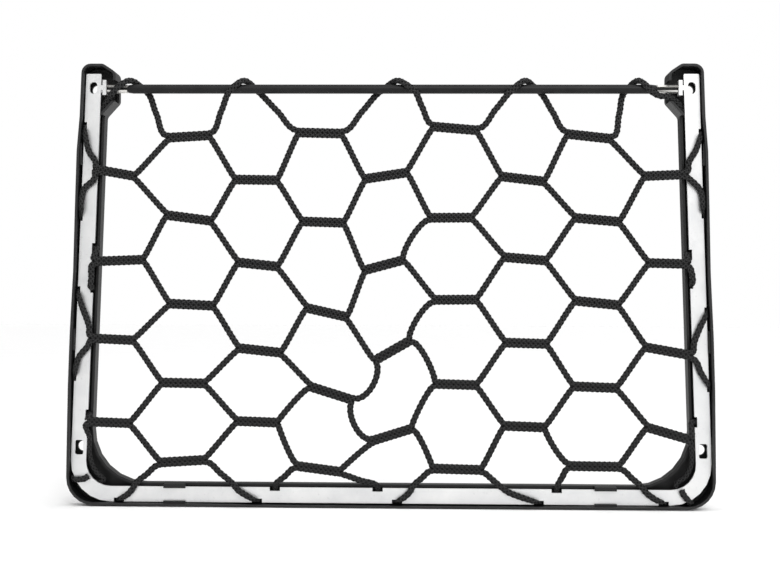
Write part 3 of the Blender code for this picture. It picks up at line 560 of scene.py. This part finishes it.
def edge_middles(run, along):
    """Across to the cord's middle where it is pressed against the inner and the outer wall."""
    inner, outer = channel_faces(run, along)
    spare = CORNER_SPARE if run.startswith("corner") else 0
    return inner + GAP + EDGE_THICK, outer - GAP - EDGE_THICK - spare


def slanted(run, along, across, y):
    """A direction in the plane across the run."""
    flat = on_run(run, along, 1, 0) - on_run(run, along, 0, 0)
    return unit(flat * across + BACK * y)


def net_y(x, z):
    """The net lies near the rim along the strip and drops back to the rod's middle at the top."""
    near_middle = max(1 - (x / NET_HALF_WIDTH) ** 2, 0)
    return NET_RIM_Y + (NET_ROD_Y - NET_RIM_Y) * (z / NET_HEIGHT) ** 2 * near_middle


print("strip's bend about", strip_bend().round(2))
print("walls at z = 100:", [round(float(face), 2) for face in channel_faces("left", 100)])

# %% [markdown]
# ## Stretches of cord
# A stretch is a centreline with the way its flat side faces, its half width and half thickness, and
# a count of braid crossings. Every stretch has a whole number of crossings, so stretches join with
# the braid in step, and in a bar both cords cross at the same places, which leaves the row of small
# dark holes along its middle.

# %% Stretch helpers
PITCH = 3.15  # from one crossing of the braid to the next, along the cord
STEP = 0.62  # between two rings of points
Station = namedtuple("Station", "point normal wide thick")
Stretch = namedtuple("Stretch", "points normals wide thick crossings")


def length_of(points):
    return float(np.linalg.norm(np.diff(points, axis=0), axis=1).sum())


def stretch(points, normals, wide, thick):
    """A stretch whose crossings are spread evenly over its length."""
    gone = np.concatenate([[0], np.cumsum(np.linalg.norm(np.diff(points, axis=0), axis=1))])
    whole = max(1, round(gone[-1] / PITCH))
    return Stretch(points, normals, wide, thick, gone / gone[-1] * whole)


def backwards(one):
    turned = [field[::-1] for field in one[:4]]
    return Stretch(*turned, one.crossings[-1] - one.crossings[::-1])


def joined(stretches):
    """Stretches end to end, with the crossings counted on."""
    fields = [[], [], [], [], []]
    count = 0.0
    for number, one in enumerate(stretches):
        first = 1 if number else 0
        for field, values in zip(fields, (*one[:4], one.crossings + count)):
            field.append(values[first:])
        count += one.crossings[-1]
    return Stretch(*(np.concatenate(field) for field in fields))


def through(stations, start, end=None):
    """A smooth stretch from a bar's end through the stations to another bar's end, or loose."""
    points = [start[0]] + [s.point for s in stations] + ([end[0]] if end else [])
    normals = [FRONT] + [s.normal for s in stations] + ([FRONT] if end else [])
    wide = [CORD] + [s.wide for s in stations] + ([CORD] if end else [])
    thick = [CORD_DEPTH] + [s.thick for s in stations] + ([CORD_DEPTH] if end else [])
    points = np.array(points)
    normals = np.array(normals)
    for k in range(1, len(normals)):
        if normals[k] @ normals[k - 1] < 0:
            normals[k] = -normals[k]
    chord = np.linalg.norm(np.diff(points, axis=0), axis=1)
    speed = np.diff(points, axis=0) / chord[:, None]
    slope = np.empty_like(points)
    before, after = chord[:-1, None], chord[1:, None]
    slope[1:-1] = (speed[:-1] * after + speed[1:] * before) / (after + before)
    slope[0] = start[1]
    slope[-1] = -end[1] if end else speed[-1]
    knots = np.concatenate([[0], np.cumsum(chord)])
    at = np.linspace(0, knots[-1], max(3, round(knots[-1] / STEP)) + 1)
    span = np.clip(np.searchsorted(knots, at, side="right") - 1, 0, len(chord) - 1)
    t = ((at - knots[span]) / chord[span])[:, None]
    d = chord[span][:, None]
    smooth = (
        points[span] * (2 * t**3 - 3 * t**2 + 1) + slope[span] * d * (t**3 - 2 * t**2 + t)
        + points[span + 1] * (3 * t**2 - 2 * t**3) + slope[span + 1] * d * (t**3 - t**2)
    )
    facing = unit(normals[span] * (1 - t) + normals[span + 1] * t)
    return stretch(smooth, facing, np.interp(at, knots, wide), np.interp(at, knots, thick))


print("a crossing every", PITCH, "mm, rings every", STEP, "mm")

# %% [markdown]
# ## Bars and legs
# In a bar two cords lie side by side, each a little narrower than where it runs alone. A leg leaves
# a bar straight on and bends over the first few millimetres, so it is drawn as a curve with a
# direction at both ends, and a bow where the net is pulled out of line.

# %% Bars and legs
BAR_OFFSET = 1.45  # from a bar's middle line to each of its two cords
BAR_WIDE = 2.1
BAR_THICK = 1.65
SIDE_BAR_THICK = 1.3
LEG_REACH = 4.0


def bar_row(name):
    return BARS[name[0]][int(name[1]) - 1]


def bar_half(name, half):
    """One of a bar's two cords, from its left end to its right end."""
    x, z, run, rise = bar_row(name)
    along, over = vec(run, 0, rise), unit(vec(-rise, 0, run))
    count = max(2, round(float(np.linalg.norm(along)) / STEP))
    share = np.linspace(-0.5, 0.5, count + 1)[:, None]
    middle = vec(x, 0, z) + along * share
    middle[:, 1] = [net_y(px, pz) for px, _, pz in middle]
    points = middle + over * (BAR_OFFSET if half == "upper" else -BAR_OFFSET)
    thick = SIDE_BAR_THICK if name[0] in "AI" else BAR_THICK
    every = np.ones(count + 1)
    return stretch(points, np.tile(FRONT, (count + 1, 1)), every * BAR_WIDE, every * thick)


def bar_end(name, side, half):
    """A point where one of a bar's cords leaves it, and the way it leaves."""
    cord = bar_half(name, half)
    x, z, run, rise = bar_row(name)
    way = unit(vec(run, 0, rise))
    return (cord.points[0], -way) if side == "left" else (cord.points[-1], way)


def leg(start, end, bow):
    """A leg between two bar ends, nearly straight, a little bowed where the net is pulled."""
    (p, p_way), (q, q_way) = start, end
    across = unit(vec(-(q - p)[2], 0, (q - p)[0]))
    count = round(float(np.linalg.norm(q - p)) / STEP)
    t = np.linspace(0, 1, count + 1)[:, None]
    points = (
        p * (2 * t**3 - 3 * t**2 + 1) + p_way * LEG_REACH * (t**3 - 2 * t**2 + t)
        + q * (3 * t**2 - 2 * t**3) - q_way * LEG_REACH * (t**3 - t**2)
        + across * bow * np.sin(math.pi * t)
    )
    every = np.ones(count + 1)
    return stretch(points, np.tile(FRONT, (count + 1, 1)), every * CORD, every * CORD_DEPTH)


def bar_of(strand, column):
    """The bar that a strand passes in a column, and its half of that bar."""
    if column % 2 == 0:
        return f"{COLUMNS[column]}{(strand + 1) // 2}", "upper" if strand % 2 else "lower"
    return f"{COLUMNS[column]}{strand // 2 + 1}", "lower" if strand % 2 else "upper"


def strand_across(strand):
    """A strand from the first column's bar to the last one's."""
    parts = [bar_half(*bar_of(strand, 0))]
    for column in range(len(COLUMNS) - 1):
        here, following = bar_of(strand, column), bar_of(strand, column + 1)
        bow = BOWS.get((here[0], following[0]), 0)
        leaves = bar_end(here[0], "right", here[1])
        arrives = bar_end(following[0], "left", following[1])
        parts += [leg(leaves, arrives, bow), bar_half(*following)]
    return parts


sample = joined(strand_across(3))
print("third strand:", round(length_of(sample.points)), "mm of cord")
print("and", round(sample.crossings[-1]), "crossings")

# %% [markdown]
# ## Turns round the strip and the rod
# At the edges the cord climbs over the strip's face, turns round its outer edge, runs back under it
# and comes out between the strip and the inner wall. Each turn is a few stations, and the smooth
# stretch is drawn through them. Where the cord is squeezed it is wider and flatter.

# %% Turns
def half_way(start, station):
    """A station halfway from a bar's end to another station."""
    point, way = start
    return Station((point + way * 1.5 + station.point) / 2, FRONT, CORD, CORD_DEPTH)


def over_strip(run, inner, via_across, via, outer, rise=True):
    """Stations from the inner edge over the strip's face to where the outer edge is near."""
    _, edge = edge_middles(run, outer)
    start = inner + (via - inner) * 0.25
    finish_at = outer + (via - outer) * ONWARD
    before = on_run(run, finish_at, edge - EDGE_LEAD, BEFORE_EDGE_Y)
    stations = [
        Station(on_run(run, start, -3.9, 1.55), FRONT, LACE_WIDE, 1.2),
        Station(on_run(run, via, via_across, FACE_Y), FRONT, LACE_WIDE, 1.2),
        Station(before, slanted(run, outer, 0.5, -0.87), EDGE_WIDE, 1.0),
    ]
    if rise:
        stations.insert(0, Station(on_run(run, inner, -6.2, 1.95), FRONT, CORD, 1.3))
    return stations


def round_outer_edge(run, outer, onward):
    _, edge = edge_middles(run, outer)
    onward = outer + (onward - outer) * ONWARD
    behind = on_run(run, onward, edge - EDGE_LEAD, BEHIND_EDGE_Y)
    return [
        Station(on_run(run, outer, edge, EDGE_Y), slanted(run, outer, 1, 0), EDGE_WIDE, EDGE_THICK),
        Station(behind, slanted(run, outer, 0.5, 0.87), EDGE_WIDE, 1.0),
    ]


def back_inside(run, outer, back, turn):
    """Stations under the strip and out at its inner edge."""
    inner, _ = edge_middles(run, back)
    stations = [Station(on_run(run, (outer + back) / 2, 0, UNDER_Y), BACK, CORD, 1.25)]
    away = math.copysign(1, back - outer)
    if turn == "gap":
        way_out = (  # along, across, y, slant across, slant in depth, half thickness
            (back, inner + 2.2, 6.6, -0.25, 0.97, 1.0),
            (back, inner, 5.25, -0.6, 0.8, 0.8),
            (back, inner - 1.8, 3.9, -0.4, 0.9, 1.1),
        )
    else:
        way_out = (
            (back, inner + 0.9, BEHIND_EDGE_Y, -0.5, 0.87, 1.0),
            (back, inner, EDGE_Y, -1, 0, EDGE_THICK),
            (back, inner + EDGE_LEAD, BEFORE_EDGE_Y, -0.5, -0.87, 1.0),
        )
    for along, across, y, slant, depth, thick in way_out:
        facing = slanted(run, back, slant, depth)
        stations.append(Station(on_run(run, along, across, y), facing, EDGE_WIDE, thick))
    if turn == "edge":
        onto_face = on_run(run, back + away * 6, inner + EDGE_LEAD, FACE_Y)
        stations.append(Station(onto_face, FRONT, CORD, 1.25))
    return stations


def between_bars(stations, start, end):
    """A stretch from bar to bar, with a station halfway to each."""
    first, last = half_way(start, stations[0]), half_way(end, stations[-1])
    return through([first, *stations, last], start, end)


def lace(row):
    """One turn round the strip, from the bar `start` to the bar `end`."""
    bottom = row.run == "bottom"
    over = over_strip(row.run, row.inner, row.via_across, row.via_along, row.outer, rise=bottom)
    stations = over + round_outer_edge(row.run, row.outer, row.back)
    stations += back_inside(row.run, row.outer, row.back, row.turn)
    down = row.start < row.end
    if not bottom:
        start = bar_end(row.start, row.run, "lower" if down else "upper")
        return through(stations, start, bar_end(row.end, row.run, "upper" if down else "lower"))
    start = bar_end(row.start, "right" if down else "left", "lower")
    end = bar_end(row.end, "left" if down else "right", "lower")
    return between_bars(stations, start, end)


def rod_turn(first_x, last_x, first, from_angle=-14, to_angle=194, steps=8):
    """Round the rod; angle 0 is the wall side and a quarter turn is the top."""
    stations = []
    for k in range(steps + 1):
        share = k / steps
        angle = from_angle + (to_angle - from_angle) * share
        angle = math.radians(180 - angle if first == "back" else angle)
        away = vec(0, -math.cos(angle), math.sin(angle))
        axis = vec(first_x + (last_x - first_x) * share, ROD_Y, ROD_Z)
        thick = TURN_THICK + TURN_CROWN * max(away[2], 0) ** 2
        middle = axis + away * (ROD_RADIUS + GAP + thick * TURN_BED)
        stations.append(Station(middle, away, TURN_WIDE, thick))
    return stations


def rod_loop(row):
    stations = rod_turn(row.first_x, row.last_x, row.first)
    start, end = bar_end(row.start, "right", "upper"), bar_end(row.end, "left", "upper")
    return between_bars(stations, start, end)


def head_lead(lead):
    """From the rod inside a head, under the strip and out over it to the first side bar."""
    stations = rod_turn(lead.turn_from, lead.turn_to, "back", to_angle=lead.to_angle)
    stations += [Station(vec(*place), FRONT, CORD, 1.4) for place in lead.inside]
    for across, y, z in ((-4.2, 6.7, 254.0), (-1.5, 6.8, 249.0)):
        stations.append(Station(on_run(lead.run, z, across, y), BACK, CORD, 1.2))
    over = over_strip(lead.run, lead.inner, lead.via_across, lead.via_along, lead.outer, rise=False)
    stations += round_outer_edge(lead.run, lead.outer, lead.outer + 6)[::-1] + over[::-1]
    start = bar_end(lead.rod_bar, lead.run, "upper")
    end = bar_end(lead.bar, lead.run, "upper")
    return through([half_way(start, stations[0]), *stations], start, end)


def loose_end(tail):
    """A loose end that turns once round the strip and stops on its other side."""
    edge_turn = round_outer_edge(tail.run, tail.outer, tail.under)
    start = bar_end(tail.bar, "left" if tail.bar[0] in "AB" else "right", "lower")
    if tail.run == "bottom":
        stop = Station(on_run(tail.run, tail.under, 0.3, UNDER_Y), BACK, CORD, 1.2)
        stations = over_strip(tail.run, tail.inner, 0, tail.via, tail.outer) + edge_turn + [stop]
        return through([half_way(start, stations[0]), *stations], start)
    side = -1 if tail.run.endswith("left") else 1
    leads = TAIL_LEADS[tail.run]
    stations = [Station(vec(side * x, y, z), FRONT, TAIL_WIDE, 1.4) for x, y, z in leads]
    stations.append(Station(on_run(tail.run, tail.via, 0.5, 6.9), BACK, CORD, 1.2))
    over = over_strip(tail.run, tail.under, -1.5, tail.under, tail.outer, rise=False)
    return through(stations + edge_turn[::-1] + over[::-1], start)


turns = [lace(row) for row in LACINGS]
print("turns round the strip:", [round(length_of(turn.points)) for turn in turns], "mm")

# %% [markdown]
# ## The braid
# Braided cord has carriers that wind both ways round a core and pass over and under each other. We
# let eight of them follow the centreline: four turn left and four turn right, a quarter turn from
# one crossing to the next, and each swells out where it passes over. Every carrier is a flat
# five-sided strand, which keeps hundreds of crossings light.

# %% Braid
CARRIERS = 4  # each way round
MIDDLE = 0.63  # a carrier's mean distance from the centreline, as a share of the cord's half width
SWELL = 0.13
STRAND_WIDE = 0.35
STRAND_THICK = 0.27
COVER = 0.96  # the braid's outside against the solid's section
PROFILE = np.array(((-1.0, 0.0), (-0.5, 0.85), (0.5, 0.85), (1.0, 0.0), (0.0, -0.8)))
CORE = 0.56
CORE_SIDES = 6


def eased(values, reach=3):
    """A running mean, so that widths change gently."""
    window = np.ones(2 * reach + 1) / (2 * reach + 1)
    padded = np.pad(values, reach, mode="edge")
    return np.convolve(padded, window, mode="valid")


def rings_to_faces(strands, rings, sides):
    """Quads and end caps for tubes whose points are numbered strand by strand, ring by ring."""
    index = np.arange(strands * rings * sides).reshape(strands, rings, sides)
    here, after = index[:, :-1], index[:, 1:]
    quads = np.stack([here, np.roll(here, -1, 2), np.roll(after, -1, 2), after], -1).reshape(-1, 4)
    return quads, index[:, 0, ::-1], index[:, -1]


def braid(cord):
    """Points, quads, caps and yarn coordinates of one braided cord with its core."""
    centre = cord.points
    wide, thick = eased(cord.wide) * COVER, eased(cord.thick) * COVER
    tangent = unit(np.gradient(centre, axis=0))
    deep = unit(cord.normals - tangent * (cord.normals * tangent).sum(1, keepdims=True))
    across = np.cross(tangent, deep)
    ways = np.repeat((1.0, -1.0), CARRIERS)[:, None]
    first = np.tile(np.arange(CARRIERS), 2)[:, None] * math.tau / CARRIERS
    angle = ways * cord.crossings * math.tau / CARRIERS + first
    reach = MIDDLE + SWELL * ways * np.cos(math.tau * cord.crossings)
    cosine, sine = np.cos(angle)[..., None], np.sin(angle)[..., None]
    w, t, r = wide[None, :, None], thick[None, :, None], reach[..., None]
    path = centre + across * (r * cosine * w) + deep * (r * sine * t)
    along = unit(np.gradient(path, axis=1))
    outward = unit(across * cosine / w + deep * sine / t)
    side = unit(np.cross(along, outward))
    lift = np.cross(side, along)
    half_wide, half_thick = STRAND_WIDE * (w + t) / 2, STRAND_THICK * np.minimum(w, t)
    shape = PROFILE[None, None]
    points = (
        path[:, :, None] + side[:, :, None] * (shape[..., :1] * half_wide[..., None])
        + lift[:, :, None] * (shape[..., 1:] * half_thick[..., None])
    )
    strands, rings = path.shape[:2]
    quads, near, far = rings_to_faces(strands, rings, len(PROFILE))
    round_it = np.linspace(0, math.tau, CORE_SIDES, endpoint=False)[None, :, None]
    core = (
        centre[:, None] + across[:, None] * np.cos(-round_it) * CORE * wide[:, None, None]
        + deep[:, None] * np.sin(-round_it) * CORE * thick[:, None, None]
    )
    core_quads, core_near, core_far = rings_to_faces(1, rings, CORE_SIDES)
    offset = points.reshape(-1, 3).shape[0]
    return {
        "points": np.concatenate([points.reshape(-1, 3), core.reshape(-1, 3)]),
        "quads": np.concatenate([quads, core_quads + offset]),
        "caps": [*near, *far, *(core_near + offset), *(core_far + offset)],
        "along": np.concatenate([
            np.tile(np.repeat(cord.crossings, len(PROFILE)), strands),
            np.repeat(cord.crossings, CORE_SIDES),
        ]),
        "around": np.concatenate([
            np.tile(np.arange(len(PROFILE)) / len(PROFILE), strands * rings),
            np.tile(np.arange(CORE_SIDES) / CORE_SIDES, rings),
        ]),
    }


trial = braid(sample)
corner = trial["points"][trial["quads"]]
volume = float((np.cross(corner[:, 0], corner[:, 1]) * corner[:, 2]).sum() / 6)
volume += float((np.cross(corner[:, 0], corner[:, 2]) * corner[:, 3]).sum() / 6)
print("third strand:", len(trial["quads"]) * 2, "triangles, volume", round(volume / 1000, 2), "cm3")

# %% [markdown]
# ## Braided pieces as meshes
# Hundreds of thousands of small faces are quickest made from whole arrays, so the mesh is filled
# with foreach_set instead of operators. The drawing is in millimetres from its own zero, and here
# it becomes metres from the part's origin. Each piece is put in place of the net's plain solid.

# %% Braided pieces as meshes
def net_piece(name, cords):
    """One mesh from several braided cords, in metres on the part's own datum."""
    made = [braid(cord) for cord in cords]
    points, loops, starts, uv, total = [], [], [], [], 0
    for one in made:
        first = total
        total += len(one["points"])
        points.append(one["points"])
        quads = one["quads"]
        round_it = one["around"][quads]
        round_it[:, 1:3] += np.where(round_it[:, 1:3] < round_it[:, :1], 1.0, 0.0)
        uv.append(np.stack([one["along"][quads], round_it], -1).reshape(-1, 2))
        loops.append((quads + first).reshape(-1))
        starts += [4] * len(quads)
        for cap in one["caps"]:
            uv.append(np.stack([one["along"][cap], one["around"][cap]], -1))
            loops.append(cap + first)
            starts.append(len(cap))
    points = (np.concatenate(points) + vec(0, 0, DATUM)) * MM
    loops, sizes = np.concatenate(loops), np.array(starts)
    mesh = bpy.data.meshes.new(name)
    mesh.vertices.add(len(points))
    mesh.vertices.foreach_set("co", points.astype(np.float32).reshape(-1))
    mesh.loops.add(len(loops))
    mesh.loops.foreach_set("vertex_index", loops.astype(np.int32))
    mesh.polygons.add(len(sizes))
    mesh.polygons.foreach_set("loop_start", (np.cumsum(sizes) - sizes).astype(np.int32))
    layer = mesh.uv_layers.new(name="yarn")
    layer.data.foreach_set("uv", np.concatenate(uv).astype(np.float32).reshape(-1))
    mesh.update(calc_edges=True)
    mesh.validate()
    mesh.shade_smooth()
    mesh.materials.append(cord_yarn)
    piece = bpy.data.objects.new(name, mesh)
    bpy.context.scene.collection.objects.link(piece)
    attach(piece, "root")
    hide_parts("net")
    spread = sum(length_of(cord.points) for cord in cords)
    print(name, round(spread), "mm of cord,", int((sizes - 2).sum()), "triangles")
    return piece


# %% [markdown]
# ## Loops of the net
# Ten strands make the net. The one along the rod and the next seven are joined two and two, by the
# leads through the heads or by the turns round the strip, into four closed loops of cord. The last
# two are open and have the loose ends.

# %% Net
def lace_between(start, end):
    """The side turn between two bars, from start to end."""
    for row in LACINGS:
        if (row.start, row.end) == (start, end):
            return lace(row)
        if (row.start, row.end) == (end, start):
            return backwards(lace(row))
    raise ValueError(f"no turn between {start} and {end}")


def rod_strand():
    """The strand along the rod, from the second column's first bar to the last but one's."""
    parts = [bar_half("B1", "upper")]
    for row in ROD_TURNS:
        parts += [rod_loop(row), bar_half(row.end, "upper")]
    return parts


def bottom_strand():
    """The strand along the bottom, laced round the strip between its bars."""
    parts = [backwards(loose_end(TAILS["bottom_left"])), bar_half("B5", "lower")]
    for start, end in (("B5", "D5"), ("D5", "F5"), ("F5", "H5")):
        parts += [lace_between(start, end), bar_half(end, "lower")]
    return parts + [loose_end(TAILS["bottom_right"])]


def turned(parts):
    return [backwards(part) for part in reversed(parts)]


def side_loop(upper_strand, row):
    """Two neighbouring strands and the side turns that close them."""
    out = strand_across(upper_strand) + [lace_between(f"I{row}", f"I{row + 1}")]
    home = turned(strand_across(upper_strand + 1)) + [lace_between(f"A{row + 1}", f"A{row}")]
    return joined(out + home)


top_loop = joined(
    strand_across(1) + [backwards(head_lead(HEAD_LEADS["right"]))]
    + turned(rod_strand()) + [head_lead(HEAD_LEADS["left"])]
)
last_strand = joined([
    backwards(loose_end(TAILS["corner_left"])), *strand_across(8),
    loose_end(TAILS["corner_right"]),
])
net_pieces = [
    net_piece("net_loop_1", [top_loop]),
    net_piece("net_loop_2", [side_loop(2, 1)]),
    net_piece("net_loop_3", [side_loop(4, 2)]),
    net_piece("net_loop_4", [side_loop(6, 3)]),
    net_piece("net_lower_strands", [last_strand, joined(bottom_strand())]),
]
print(len(net_pieces), "pieces of net")

# %% [markdown]
# ## Floor and light
# The photograph is a cut-out on white, lit softly from all sides. A white surround behind, a floor
# that one broad overhead light makes white, and a room that is brighter on the right than on the
# left give the strip its pale right side, its greyer left side and its bright bottom. The plain
# Standard view keeps white paper white.

# %% Floor
def pale():
    finish = Finish("pale floor")
    speck = finish.noise(finish.place(), 8.0, 3.0)
    shade = finish.blend(finish.fade(speck, 0.3, 0.7), (0.97, 0.97, 0.97, 1), (0.99, 0.99, 0.99, 1))
    return finish.surface(Base_Color=shade, Roughness=0.9)


bpy.ops.object.select_all(action="DESELECT")
bpy.ops.mesh.primitive_plane_add(size=30.0, location=(0, 0, cad_box[0][2]))
floor = bpy.context.active_object
floor.name = "floor"
floor.data.materials.append(pale())
print("floor at", round(cad_box[0][2] * 1000, 2), "mm")

# %% Surround
bpy.context.scene.view_settings.view_transform = "Standard"
world = bpy.data.worlds.new("surround")
bpy.context.scene.world = world
world.use_nodes = True
links = world.node_tree.links
background = world.node_tree.nodes["Background"]
direction = world.node_tree.nodes.new("ShaderNodeTexCoord").outputs["Generated"]
compass = world.node_tree.nodes.new("ShaderNodeSeparateXYZ")
links.new(direction, compass.inputs[0])
room = world.node_tree.nodes.new("ShaderNodeMapRange")
for slot, value in (("From Min", -0.35), ("From Max", 0.35), ("To Min", 0.2), ("To Max", 0.78)):
    room.inputs[slot].default_value = value
links.new(compass.outputs["X"], room.inputs["Value"])
seen = world.node_tree.nodes.new("ShaderNodeLightPath").outputs["Is Camera Ray"]
white = world.node_tree.nodes.new("ShaderNodeMix")
white.inputs["B"].default_value = 1.0
links.new(seen, white.inputs["Factor"])
links.new(room.outputs["Result"], white.inputs["A"])
links.new(white.outputs["Result"], background.inputs["Strength"])
background.inputs["Color"].default_value = (1, 1, 1, 1)
print("surround:", [node.name for node in world.node_tree.nodes])

# %% Lights
sky = bpy.data.lights.new("overhead", "SUN")
sky.energy = 1.9
sky.angle = math.radians(110)
overhead = bpy.data.objects.new("overhead", sky)
bpy.context.scene.collection.objects.link(overhead)
overhead.location = (0, -0.4, 1.5)
overhead.rotation_euler = (math.radians(22), 0, 0)


def soft_lamp(name, place, target, size, power):
    lamp = bpy.data.lights.new(name, "AREA")
    lamp.shape = "RECTANGLE"
    lamp.size, lamp.size_y = size
    lamp.energy = power
    holder = bpy.data.objects.new(name, lamp)
    bpy.context.scene.collection.objects.link(holder)
    holder.location = place
    holder.rotation_euler = (Vector(target) - Vector(place)).to_track_quat("-Z", "Y").to_euler()
    return holder


soft_lamp("key", (0.25, -1.2, 1.1), (0, 0, 0.14), (0.4, 0.4), 6)
print("lights:", [light.name for light in bpy.data.lights])

# %% [markdown]
# The visible pieces have to stay inside the packed part's box, give or take a little.
